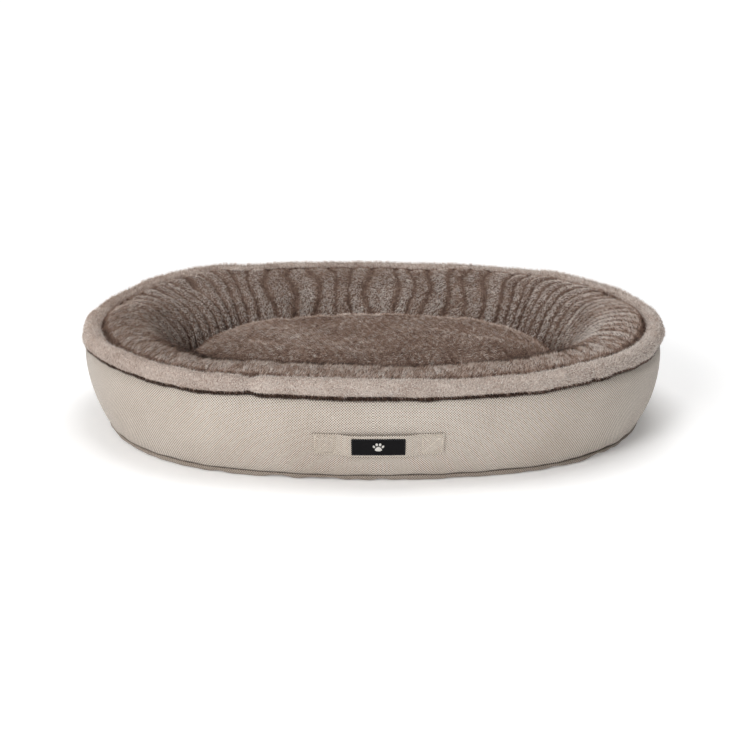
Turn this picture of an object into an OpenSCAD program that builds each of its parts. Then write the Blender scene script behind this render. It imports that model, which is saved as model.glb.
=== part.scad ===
// Pet cushion bed: an oval nest with a stuffed fur bolster inside a woven outer band,
// a soft fur roll round its rim, a carry handle on the front and a loose, crowned cushion.
// Frame: origin on the floor at the centre of the plan, +X along the length, +Y to the back,
// +Z up. Millimetres. In a section, s is the distance in from the bed's outline and z the height.

/* [Overall] */
// Length of the bed along X, outside the rim roll
bed_l = 914; // [782:6:1100]
// Depth of the bed along Y, outside the rim roll
bed_d = 686; // [572:6:830]
// Height of the bolster's crest above the floor
bed_h = 168; // [140:1:205]
// How far the long sides bow out past the round ends
side_bow = 18; // [10:1:40]

/* [Woven outer band] */
// How far the wall's bulge stays inside the rim roll
wall_inset = 3; // [0:0.5:8]
// How far the foot of the wall sits inside its bulge
wall_batter = 36; // [20:1:45]
// Height over which the wall tucks in again under the rim roll
wall_tuck_h = 17; // [10:1:30]
// How far the wall tucks in under the rim roll
wall_tuck = 5; // [0:0.5:6]
// Thickness of the woven cloth
woven_t = 2; // [1:0.1:3]

/* [Base] */
// Height at which the base panel's turned-up edge is sewn to the wall
base_seam_h = 9; // [6:0.5:14]
// How far the turned-up edge rounds in to the flat underside
base_round = 9; // [4:0.5:14]

/* [Bolster] */
// Width of the bolster, from the outline to the side of the hollow
bolster_w = 160; // [125:1:195]
// Distance of the crest in from the outline
crest_in = 65; // [50:1:85]
// How far the crest stands above the top edge of the wall
crest_rise = 33.5; // [24:0.5:45]
// Height at which the bolster's inner face turns vertical
inner_turn_h = 80; // [60:1:100]
// Thickness of the fur cloth with the matted root of its pile
fur_t = 2.4; // [1.5:0.1:3.5]

/* [Rim roll] */
// Outer diameter of the stuffed fur roll
roll_d = 27; // [20:0.5:34]
// How deep the roll's flange is caught in the seam
flange_h = 12; // [8:0.5:16]

/* [Cushion] */
// Height of the cushion's crown above its underside
cushion_h = 121.5; // [95:0.5:135]
// How far the crown stands above the cushion's edge
crown_rise = 18; // [8:1:30]
// Height of the side seam above the underside
cushion_seam_h = 60; // [45:1:70]
// How far the cushion's edges round in above and below its side seam
cushion_round = 18; // [8:1:26]
// Gap round the cushion inside the bolster
cushion_gap = 2; // [1:0.5:6]

/* [Carry handle] */
// Length of the strap along the wall
strap_l = 186; // [150:1:220]
// Width of the strap
strap_w = 36; // [24:1:38]
// Thickness of the doubled strap
strap_t = 2.5; // [1.5:0.1:4]
// Height of the strap's middle above the floor
strap_mid_h = 66.5; // [58:0.5:80]
// Distance of the strap's middle from the middle of the front
strap_x = 7; // [-40:1:40]
// Length of each end that is sewn down
sewn_l = 34; // [26:1:40]
// How far the slack middle stands off the wall
strap_slack = 8; // [6:0.5:12]

/* [Label] */
// Length of the woven label
label_l = 75; // [50:1:78]
// Width of the woven label
label_w = 28; // [16:0.5:30]
// Thickness of the woven label
label_t = 0.8; // [0.5:0.1:1.2]

/* [Hidden] */
// Clearance between pieces that are sewn or stuffed together
sewn_gap = 0.2;
// Clearance between the cushion and the floor of the nest
rest_gap = 0.5;
// Clearance between things stitched on the strap
lay_gap = 0.05;
// Fineness of the ring sweeps and of the small round pieces, and the sides of the roll's section
sweep_fn = 180;
small_fn = 24;
roll_sides = 24;

// The plan is a four-centred oval: two end arcs and two flatter side arcs that meet tangentially.
half_l = bed_l / 2;
half_d = bed_d / 2;
end_r = half_d - side_bow;
end_cx = half_l - end_r;
side_k = (end_cx * end_cx - side_bow * side_bow) / (2 * side_bow);
side_r = half_d + side_k;
side_half = atan2(end_cx, side_k);
// Inset past which a panel or a crown is a flat plate
plate_in = end_r - 40;

// Heights of the wall
wall_h = bed_h - crest_rise;
bulge_h = wall_h - wall_tuck_h;
// The wall is straight in section behind the strap, this far above and below its middle
flat_half = strap_w / 2 + 1.5;

// Rim roll
roll_r = roll_d / 2;
roll_s = roll_r;
roll_z = wall_h + roll_r;
flange_z = wall_h - flange_h;
flange_s = wall_inset + wall_tuck + woven_t + sewn_gap;

// Base and nest floor
deck_z = woven_t;
floor_z = 2 * woven_t;

// Cushion
cushion_s = bolster_w + cushion_gap;
cushion_z = floor_z + rest_gap;
seam_z = cushion_z + cushion_seam_h;
crown_z = cushion_z + cushion_h;
edge_z = crown_z - crown_rise;

// Inset of the wall's outer face at height z
function wall_s(z) = wall_inset + (z < bulge_h
    ? wall_batter * pow((bulge_h - z) / bulge_h, 2)
    : wall_tuck * pow((z - bulge_h) / wall_tuck_h, 2));

// Heights of the points of the wall's section, with none behind the strap
wall_zs = [base_seam_h, 20, 34, strap_mid_h - flat_half, strap_mid_h + flat_half,
    for (i = [1 : 3]) let (lo = strap_mid_h + flat_half) lo + (bulge_h - lo) * i / 3,
    for (i = [1 : 3]) bulge_h + wall_tuck_h * i / 3];

// The wall's face pushed in by t, from z up to z_top
function wall_face(t, z_top) = [for (z = wall_zs) if (z <= z_top) [wall_s(z) + t, z]];

// An arc of an ellipse in section, from angle a0 to a1, with semi-axes rs along s and rz along z
function ellipse_arc(cs, cz, rs, rz, a0, a1, n) =
    [for (i = [0 : n]) let (a = a0 + (a1 - a0) * i / n) [cs + rs * cos(a), cz + rz * sin(a)]];

// The bolster cover's face, pushed t into the bolster: under the roll, up to the crest, down inside
function cover_face(t) = let (r = roll_r + sewn_gap + t) concat(
    ellipse_arc(roll_s, roll_z, r, r, t > 0 ? -80 : -90, 0, 5),
    ellipse_arc(crest_in, roll_z, crest_in - roll_s - r, bed_h - roll_z - t, 165, 90, 5),
    ellipse_arc(crest_in, inner_turn_h, bolster_w - crest_in - t,
        bed_h - inner_turn_h - t, 82, 0, 9));

// The upper and lower halves of the cushion's face, pushed in by t, from the side seam inwards
function cushion_upper(t) = concat(
    ellipse_arc(cushion_s + cushion_round, seam_z, t - cushion_round, edge_z - seam_z - t, 0, 78, 5),
    [for (k = [0, 0.35, 0.7, 1]) let (s0 = cushion_s + cushion_round + 4)
        [s0 + (plate_in - s0) * k, edge_z - t + crown_rise * (1 - pow(1 - k, 1.5))]]);
function cushion_lower(t) = ellipse_arc(cushion_s + cushion_round, seam_z,
    t - cushion_round, cushion_z - seam_z + t, 0, 90, 7);

// Turns a list of points round
function turned(p) = [for (i = [len(p) - 1 : -1 : 0]) p[i]];

// Where two neighbouring arcs meet: the plane from an end arc's centre out through this point
reach = bed_l;
meet = [end_cx + reach * sin(side_half), reach * cos(side_half)];

// The wedges of the plan that an end arc and a side arc take up
module end_wedge() polygon([[end_cx, 0], meet, [meet[0] + reach, meet[1]],
    [meet[0] + reach, -meet[1]], [meet[0], -meet[1]]]);
module side_wedge() polygon([[end_cx, 0], meet, [-meet[0], meet[1]], [-end_cx, 0]]);

// Sweeps a section, drawn in s and z, round the whole oval; each turn is wider than its wedge
module oval_ring() {
    for (side = [0, 180]) rotate(side) {
        intersection() {
            translate([end_cx, 0]) rotate_extrude(angle = 180, start = -90, $fn = sweep_fn)
                translate([end_r, 0]) mirror([1, 0]) children();
            linear_extrude(2 * bed_h, center = true) end_wedge();
        }
        intersection() {
            translate([0, -side_k]) rotate_extrude(angle = 120, start = 30, $fn = sweep_fn)
                translate([side_r, 0]) mirror([1, 0]) children();
            linear_extrude(2 * bed_h, center = true) side_wedge();
        }
    }
}

// The flat oval that lies s inside the bed's outline
module oval_plate(s) {
    for (side = [0, 180]) rotate(side) {
        intersection() {
            translate([end_cx, 0]) circle(r = end_r - s, $fn = sweep_fn);
            end_wedge();
        }
        intersection() {
            translate([0, -side_k]) circle(r = side_r - s, $fn = sweep_fn);
            side_wedge();
        }
    }
}

// Flat underside of the nest, with its edge turned up to the seam with the wall
module base_panel() {
    edge_s = wall_s(base_seam_h);
    rise = base_seam_h;
    color("#b3a797") union() {
        oval_ring() polygon(concat(
            ellipse_arc(edge_s + base_round, rise, -base_round, -rise, 0, 90, 5),
            [[plate_in, 0], [plate_in, woven_t]],
            ellipse_arc(edge_s + base_round, rise, woven_t - base_round, woven_t - rise, 90, 0, 5)));
        linear_extrude(woven_t) oval_plate(plate_in);
    }
}

// Woven band round the outside
module side_wall() {
    color("#c9bdab") oval_ring()
        polygon(concat(wall_face(0, wall_h), turned(wall_face(woven_t, wall_h))));
}

// Fur skin of the bolster, from the seam under the roll over the crest to the nest floor
module bolster_cover() {
    seam_s = flange_s + fur_t + sewn_gap;
    inside = cover_face(fur_t);
    color("#8d7869") oval_ring() polygon(concat(
        [[seam_s, flange_z], [seam_s, roll_z - roll_r - sewn_gap]],
        cover_face(0),
        [[bolster_w, floor_z], [bolster_w - fur_t, floor_z]],
        turned(inside),
        [[seam_s + fur_t, inside[0][1]], [seam_s + fur_t, flange_z]]));
}

// Loose fibre that stuffs the bolster
module bolster_fill() {
    foot = wall_s(base_seam_h) + base_round;
    skin = fur_t + sewn_gap;
    inner = cover_face(skin);
    start_s = flange_s + 2 * (fur_t + sewn_gap);
    low = flange_z - sewn_gap;
    floor = woven_t + sewn_gap;
    color("#f1efe9") oval_ring() polygon(concat(
        [[foot, floor], [wall_s(base_seam_h) + floor, base_seam_h]],
        [for (z = wall_zs) if (z > base_seam_h && z < low) [wall_s(z) + floor, z]],
        [[wall_s(low) + floor, low], [start_s, low], [start_s, inner[0][1]]],
        inner,
        [[bolster_w - skin, floor]]));
}

// Round section of the rim roll, with radius r
module roll_section(r) polygon(ellipse_arc(roll_s, roll_z, r, r, 0, 360 - 360 / roll_sides, roll_sides - 1));

// Fur tube of the rim roll: one edge of its strip runs down as the flange that the seam catches,
// and the other edge closes against it
module rim_roll_cover() {
    color("#b9a79c") oval_ring() difference() {
        union() {
            roll_section(roll_r);
            translate([flange_s, flange_z]) square([fur_t, flange_h + fur_t / 2]);
        }
        roll_section(roll_r - fur_t);
        translate([flange_s + fur_t, flange_z]) square([sewn_gap, flange_h + 2 * fur_t]);
    }
}

// Wadding cord inside the rim roll
module rim_roll_core() {
    color("#f4f2ec") oval_ring() roll_section(roll_r - fur_t - sewn_gap);
}

// Lining on the floor of the nest, sewn to the foot of the bolster cover
module deck_panel() {
    color("#d5cdbf") translate([0, 0, deck_z])
        linear_extrude(woven_t) oval_plate(bolster_w - fur_t);
}

// Fur top of the cushion, down to its side seam
module cushion_top_cover() {
    color("#87705f") union() {
        oval_ring() polygon(concat(cushion_upper(0), turned(cushion_upper(fur_t))));
        translate([0, 0, crown_z - fur_t]) linear_extrude(fur_t) oval_plate(plate_in);
    }
}

// Woven underside of the cushion, up to its side seam
module cushion_base_cover() {
    color("#bdb2a2") union() {
        oval_ring() polygon(concat(
            cushion_lower(0), [[plate_in, cushion_z], [plate_in, cushion_z + woven_t]],
            turned(cushion_lower(woven_t))));
        translate([0, 0, cushion_z]) linear_extrude(woven_t) oval_plate(plate_in);
    }
}

// Loose fibre that stuffs the cushion
module cushion_fill() {
    skin = fur_t + sewn_gap;
    z0 = cushion_z + skin;
    color("#f1efe9") union() {
        lower = cushion_lower(skin);
        oval_ring() polygon(concat(turned(cushion_upper(skin)),
            [for (i = [1 : len(lower) - 1]) lower[i]], [[plate_in, z0]]));
        translate([0, 0, z0]) linear_extrude(crown_z - skin - z0) oval_plate(plate_in);
    }
}

// The strap lies on the straight stretch of the wall: its slope, and the radius of that stretch
strap_lo = strap_mid_h - flat_half;
strap_hi = strap_mid_h + flat_half;
slope = atan2(wall_s(strap_lo) - wall_s(strap_hi), 2 * flat_half);
strap_r = side_r - (wall_s(strap_lo) + wall_s(strap_hi)) / 2;
deg_per_mm = 180 / (PI * strap_r);

// How far the strap stands off the wall at u along it, from its middle
function stand_off(u) = let (
    free = strap_l / 2 - sewn_l,
    k = min(1, max(0, (free - abs(u)) / (free - label_l / 2))))
    lay_gap + strap_slack * k * k * (3 - 2 * k);

// A point of the strap: u along it, h up the wall's slope, off the wall by t
function strap_point(u, h, t) = let (
    r = strap_r + h * sin(slope) + t * cos(slope),
    a = (strap_x + u) * deg_per_mm)
    [r * sin(a), side_k - r * cos(a), strap_mid_h + h * cos(slope) - t * sin(slope)];

// Places what is drawn with X along the strap, Z up the slope and -Y out of the wall
module on_strap(u, h, t) {
    translate(strap_point(u, h, t)) rotate((strap_x + u) * deg_per_mm) rotate([slope, 0, 0])
        children();
}

// Doubled woven strap, sewn down at both ends and slack between them
module handle_strap() {
    n = 48;
    half_w = strap_w / 2;
    corners = [[-half_w, 0], [half_w, 0], [half_w, strap_t], [-half_w, strap_t]];
    points = [for (i = [0 : n]) let (u = strap_l * (i / n - 0.5)) for (c = corners)
        strap_point(u, c[0], stand_off(u) + c[1])];
    faces = concat([[0, 1, 2, 3]],
        [for (i = [0 : n - 1], j = [0 : 3]) let (a = 4 * i, b = 4 * i + 4, k = (j + 1) % 4)
            [a + j, b + j, b + k, a + k]],
        [[4 * n + 3, 4 * n + 2, 4 * n + 1, 4 * n]]);
    color("#cfc4b3") polyhedron(points, faces, convexity = 4);
}

// A row of stitches from p to q, in u and h, lying on the strap t off the wall
module stitch_row(p, q, t, thread_d, pitch) {
    along = q - p;
    long = norm(along);
    n = max(1, round(long / pitch));
    turn = atan2(along[1], along[0]);
    for (i = [0 : n - 1]) let (m = p + along * (i + 0.5) / n)
        on_strap(m[0], m[1], t + thread_d / 2 + lay_gap) rotate([0, 90 - turn, 0])
            cylinder(h = 0.7 * long / n, d = thread_d, center = true, $fn = small_fn);
}

// Thread that holds one end of the strap: a square with a cross in it
module strap_stitching(side) {
    edge = 3;
    thread = 0.8;
    pitch = 5.5;
    inset = thread;
    u0 = side * (strap_l / 2 - sewn_l + edge);
    u1 = side * (strap_l / 2 - edge);
    h = strap_w / 2 - edge;
    t = lay_gap + strap_t;
    color("#ddd4c6") {
        for (v = [-h, h]) stitch_row([u0, v], [u1, v], t, thread, pitch);
        for (u = [u0, u1]) stitch_row([u, -h + 2 * inset], [u, h - 2 * inset], t, thread, pitch);
        for (v = [-1, 1]) for (part = [[0.12, 0.44], [0.56, 0.88]])
            stitch_row([u0 + (u1 - u0) * part[0], v * h * (2 * part[0] - 1)],
                [u0 + (u1 - u0) * part[1], v * h * (2 * part[1] - 1)], t, thread, pitch);
    }
}

module handle_stitching_left() strap_stitching(-1);
module handle_stitching_right() strap_stitching(1);

// Where the label's underside lies, and its face
label_off = lay_gap + strap_slack + strap_t + lay_gap;
label_face = label_off + label_t;

// Woven label sewn to the slack middle of the strap
module handle_label() {
    arc = label_l * deg_per_mm;
    dz = label_w / 2 * cos(slope);
    dr = label_w / 2 * sin(slope);
    r = strap_r + label_off * cos(slope);
    z = strap_mid_h - label_off * sin(slope);
    out = [label_t * cos(slope), -label_t * sin(slope)];
    color("#1d1c1e") translate([0, side_k])
        rotate_extrude(angle = arc, start = strap_x * deg_per_mm - 90 - arc / 2, $fn = 720)
        polygon([[r - dr, z - dz], [r + dr, z + dz], [r + dr, z + dz] + out, [r - dr, z - dz] + out]);
}

// Thread round the edge of the label
module label_stitching() {
    edge = 1.5;
    thread = 0.5;
    pitch = 3.5;
    u = label_l / 2 - edge;
    h = label_w / 2 - edge;
    color("#3a393c") {
        for (v = [-h, h]) stitch_row([-u + pitch / 2, v], [u - pitch / 2, v], label_face, thread, pitch);
        for (v = [-u, u]) stitch_row([v, -h], [v, h], label_face, thread, pitch);
    }
}

// Plain paw mark woven on the label: a palm of three lobes and four toes
module label_emblem() {
    mark_t = 0.3;
    // Each pad: along the strap, up the slope, diameter
    pads = [[0, -1.6, 7.6], [-3.1, -3.4, 4.8], [3.1, -3.4, 4.8],
        [-6.3, 1.4, 3.4], [-2.4, 4.9, 3.8], [2.4, 4.9, 3.8], [6.3, 1.4, 3.4]];
    color("#e9e6df") for (p = pads)
        on_strap(p[0], p[1], label_face + lay_gap) rotate([90, 0, 0])
            cylinder(h = mark_t, d = p[2], $fn = small_fn);
}

base_panel();
side_wall();
bolster_cover();
bolster_fill();
rim_roll_cover();
rim_roll_core();
deck_panel();
handle_strap();
handle_stitching_left();
handle_stitching_right();
handle_label();
label_stitching();
label_emblem();
cushion_top_cover();
cushion_base_cover();
cushion_fill();
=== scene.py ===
"""Pet cushion bed: an oval nest with a pleated fur bolster, a woven outer band, a pale fur rim roll,
a labelled carry strap and a loose, crowned cushion. Metres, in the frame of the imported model."""

import logging
import math
from dataclasses import dataclass
from enum import Enum

import bmesh
import bpy
import numpy as np
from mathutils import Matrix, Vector
from mathutils.kdtree import KDTree


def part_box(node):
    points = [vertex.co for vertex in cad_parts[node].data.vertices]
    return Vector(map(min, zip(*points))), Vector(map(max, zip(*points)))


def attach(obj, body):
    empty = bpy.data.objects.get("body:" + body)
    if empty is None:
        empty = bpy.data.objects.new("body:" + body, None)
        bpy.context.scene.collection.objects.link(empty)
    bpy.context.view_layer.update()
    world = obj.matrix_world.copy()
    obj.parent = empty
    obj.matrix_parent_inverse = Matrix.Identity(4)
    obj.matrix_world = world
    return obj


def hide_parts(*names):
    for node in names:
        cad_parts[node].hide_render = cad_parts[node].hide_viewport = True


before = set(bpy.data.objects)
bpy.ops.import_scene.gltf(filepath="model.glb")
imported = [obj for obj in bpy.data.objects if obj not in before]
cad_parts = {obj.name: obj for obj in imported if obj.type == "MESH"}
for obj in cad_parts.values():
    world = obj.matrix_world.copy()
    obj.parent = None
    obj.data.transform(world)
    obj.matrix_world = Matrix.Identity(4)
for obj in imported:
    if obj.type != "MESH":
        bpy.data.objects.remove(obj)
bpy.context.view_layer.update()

log = logging.getLogger("pet_bed")
MM = 0.001
Array = np.ndarray
Socket = bpy.types.NodeSocket


def linear(red: int, green: int, blue: int) -> tuple[float, float, float, float]:
    """A colour from 0 to 255 as seen on a screen, as the linear colour that shaders take.

    Args:
        red, green, blue: the screen colour.

    Returns:
        The linear colour, with alpha 1.
    """
    seen = np.array([red, green, blue]) / 255
    value = np.where(seen <= 0.04045, seen / 12.92, ((seen + 0.055) / 1.055) ** 2.4)
    return (*map(float, value), 1.0)


def smooth(low: float, high: float, x: Array) -> Array:
    """A soft step from 0 at low to 1 at high: 3k^2 - 2k^3 of the share k of the way."""
    k = np.clip((x - low) / (high - low), 0, 1)
    return k * k * (3 - 2 * k)


def chance(number: Array, seed: int) -> Array:
    """A fixed random value from 0 to 1 for each whole number: the fraction of a large sine."""
    return np.mod(np.sin(number * 12.9898 + seed * 78.233) * 43758.5453, 1.0)


class Ripple:
    """Smooth random waves in space: a sum of cosines with random directions, about -1 to 1."""

    def __init__(self, seed: int, size: float, waves: int = 18, squash: tuple = (1, 1, 1)) -> None:
        """Draws the waves.

        Args:
            seed: of the random draws.
            size: the length of a typical wave, in metres.
            waves: how many cosines are added.
            squash: how much finer the waves are along X, Y and Z.
        """
        rng = np.random.default_rng(seed)
        way = rng.normal(size=(waves, 3))
        way /= np.linalg.norm(way, axis=1)[:, None]
        pitch = rng.uniform(0.6, 1.6, waves) / size
        self.k = 2 * math.pi * way * pitch[:, None] * np.array(squash)
        self.phase = rng.uniform(0, 2 * math.pi, waves)

    def __call__(self, points: Array) -> Array:
        """The waves' height at points whose last axis is X, Y, Z."""
        total = np.zeros(points.shape[:-1])
        for k, phase in zip(self.k, self.phase):
            total += np.cos(points @ k + phase)
        return total / math.sqrt(len(self.phase))


@dataclass(frozen=True)
class Oval:
    """The bed's plan: two end arcs and two flatter side arcs that meet tangentially.

    A place on it is the angle psi of its outward normal, from -pi/2 at the middle of the front,
    and s, the distance in from the outline.
    """

    half_l: float
    half_d: float
    side_bow: float = 18 * MM

    @property
    def end_r(self) -> float:
        """Radius of the end arcs."""
        return self.half_d - self.side_bow

    @property
    def end_cx(self) -> float:
        """Distance of an end arc's centre from the middle."""
        return self.half_l - self.end_r

    @property
    def side_k(self) -> float:
        """Distance of a side arc's centre from the middle."""
        return (self.end_cx**2 - self.side_bow**2) / (2 * self.side_bow)

    @property
    def side_r(self) -> float:
        """Radius of the side arcs."""
        return self.half_d + self.side_k

    @property
    def side_half(self) -> float:
        """Half the angle of a side arc."""
        return math.atan2(self.end_cx, self.side_k)

    def _stops(self, s: float) -> tuple[Array, Array]:
        """The angles where the arcs meet, and the length run to each at inset s."""
        h, q = self.side_half, math.pi / 2
        angle = np.array([-q, h - q, q - h, q + h, 3 * q - h, 3 * q])
        radius = np.array([self.side_r, self.end_r, self.side_r, self.end_r, self.side_r]) - s
        return angle, np.concatenate([[0], np.cumsum(np.diff(angle) * radius)])

    def angles(self, count: int, s: float) -> Array:
        """count + 1 angles, evenly spaced along the oval at inset s, the last one a full turn on."""
        angle, run = self._stops(s)
        return np.interp(np.linspace(0, run[-1], count + 1), run, angle)

    def run(self, psi: Array, s: float) -> Array:
        """Length along the oval at inset s from the middle of the front to angle psi."""
        angle, run = self._stops(s)
        return np.interp(psi, angle, run)

    def place(self, psi: Array, s: Array, z: Array) -> Array:
        """Points at angle psi, inset s and height z: the arc's centre plus its radius less s."""
        c, n = np.cos(psi), np.sin(psi)
        side = np.abs(n) > math.cos(self.side_half)
        r = np.where(side, self.side_r, self.end_r) - s
        x = np.where(side, 0.0, np.sign(c) * self.end_cx) + r * c
        y = np.where(side, -np.sign(n) * self.side_k, 0.0) + r * n
        return np.stack(np.broadcast_arrays(x, y, z), axis=-1)


def even_path(points: list[tuple[float, float]], count: int) -> Array:
    """Spaces count points evenly along a section's line of points (s, z)."""
    line = np.array(points, float)
    step = np.linalg.norm(np.diff(line, axis=0), axis=1)
    run = np.concatenate([[0], np.cumsum(step)])
    at = np.linspace(0, run[-1], count)
    return np.stack([np.interp(at, run, line[:, i]) for i in (0, 1)], axis=1)


def arc(cs: float, cz: float, rs: float, rz: float, a0: float, a1: float, count: int = 24) -> list:
    """Points of an ellipse's arc in section, from a0 to a1 degrees: centre plus the semi-axes
    times the angle's cosine and sine."""
    a = np.radians(np.linspace(a0, a1, count))
    return list(zip(cs + rs * np.cos(a), cz + rz * np.sin(a)))


def section_normals(path: Array) -> Array:
    """Unit normals of a section's line, to the left of its direction in (s, z)."""
    way = np.gradient(path, axis=0)
    way /= np.maximum(np.linalg.norm(way, axis=1), 1e-12)[:, None]
    return np.stack([-way[:, 1], way[:, 0]], axis=1)


def signed_volume(points: Array, faces: Array) -> float:
    """Volume inside a mesh of quads, negative if its faces point inwards."""
    a, b, c, d = (points[faces[:, i]] for i in range(4))
    six = np.einsum("ij,ij->i", a, np.cross(b, c)) + np.einsum("ij,ij->i", a, np.cross(c, d))
    return float(six.sum()) / 6


def raw_mesh(name: str, points: Array, faces: Array, uv: Array | None = None) -> bpy.types.Object:
    """Makes an object of a mesh whose faces all have the same number of corners.

    Args:
        name: the object's name.
        points: (n, 3) places.
        faces: (m, k) numbers of each face's corners.
        uv: (m * k, 2) texture places of the corners, in metres, or None.

    Returns:
        The object, linked to the scene.
    """
    mesh = bpy.data.meshes.new(name)
    count, corners = faces.shape
    mesh.vertices.add(len(points))
    mesh.vertices.foreach_set("co", np.ascontiguousarray(points, np.float32).ravel())
    mesh.loops.add(count * corners)
    mesh.loops.foreach_set("vertex_index", np.ascontiguousarray(faces, np.int32).ravel())
    mesh.polygons.add(count)
    mesh.polygons.foreach_set("loop_start", np.arange(0, count * corners, corners, dtype=np.int32))
    if uv is not None:
        mesh.uv_layers.new(name="cloth")
        mesh.uv_layers["cloth"].uv.foreach_set("vector", np.ascontiguousarray(uv, np.float32).ravel())
    mesh.update(calc_edges=True)
    mesh.validate()
    obj = bpy.data.objects.new(name, mesh)
    bpy.context.scene.collection.objects.link(obj)
    return obj


def finish_mesh(obj: bpy.types.Object, near: float = 0.0, tidy_edges: bool = False) -> bpy.types.Object:
    """Merges a mesh's points that lie nearer than near, if any, and smooths its faces.

    Args:
        obj: the object.
        near: how near two points are merged, or 0 for not at all.
        tidy_edges: whether faces that shrank to a line are dissolved.

    Returns:
        The object.
    """
    if near:
        bm = bmesh.new()
        bm.from_mesh(obj.data)
        bmesh.ops.remove_doubles(bm, verts=bm.verts, dist=near)
        if tidy_edges:
            bmesh.ops.dissolve_degenerate(bm, edges=bm.edges, dist=1e-7)
        bm.to_mesh(obj.data)
        bm.free()
    obj.data.polygons.foreach_set("use_smooth", np.ones(len(obj.data.polygons), bool))
    return obj


def ring_quads(rings: int, spokes: int) -> Array:
    """The quads between rings of spokes points each, as rows of four numbers."""
    i, j = np.meshgrid(np.arange(rings - 1), np.arange(spokes), indexing="ij")
    next_j = (j + 1) % spokes
    quad = [i * spokes + j, i * spokes + next_j, (i + 1) * spokes + next_j, (i + 1) * spokes + j]
    return np.stack(quad, -1).reshape(-1, 4)


def ring_mesh(name: str, parts: list[Array], rings: int, spokes: int, near: float) -> bpy.types.Object:
    """Makes one object of many closed shapes, each rings times spokes points, with faces outwards.

    Args:
        name: the object's name.
        parts: (rings * spokes, 3) places of each shape.
        rings, spokes: how each shape's points are laid out.
        near: how near two points are merged.

    Returns:
        The object.
    """
    quads = np.concatenate([k * rings * spokes + ring_quads(rings, spokes) for k in range(len(parts))])
    points = np.concatenate(parts)
    if signed_volume(points, quads) < 0:
        quads = quads[:, ::-1]
    return finish_mesh(raw_mesh(name, points, quads), near)


def grid_mesh(name: str, points: Array, uv: Array, wrap_v: bool = True, weld: bool = False,
              skip: int = -1) -> bpy.types.Object:
    """Makes a smooth object of a grid that closes on itself along u, with its faces outwards.

    Args:
        name: the object's name.
        points: (nu, nv, 3) places, where row nu would be row 0 again.
        uv: (nu + 1, nv + wrap, 2) texture places in metres.
        wrap_v: whether the last column joins the first.
        weld: whether points that meet, as at a pole, are merged.
        skip: a column with no faces, between the two poles of a shell, or -1.

    Returns:
        The object.
    """
    nu, nv = points.shape[:2]
    i, j = np.meshgrid(np.arange(nu), np.arange(nv if wrap_v else nv - 1), indexing="ij")
    i, j = i[j != skip], j[j != skip]
    ui, uj = (i, i + 1, i + 1, i), (j, j, j + 1, j + 1)
    faces = np.stack([(a % nu) * nv + b % nv for a, b in zip(ui, uj)], axis=1)
    flat = points.reshape(-1, 3)
    corner_uv = np.stack([uv[a, b] for a, b in zip(ui, uj)], axis=1)
    if signed_volume(flat, faces) < 0:
        faces, corner_uv = faces[:, ::-1], corner_uv[:, ::-1]
    obj = raw_mesh(name, flat, faces, corner_uv.reshape(-1, 2))
    return finish_mesh(obj, 2e-6 if weld else 0.0, tidy_edges=True)


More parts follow.
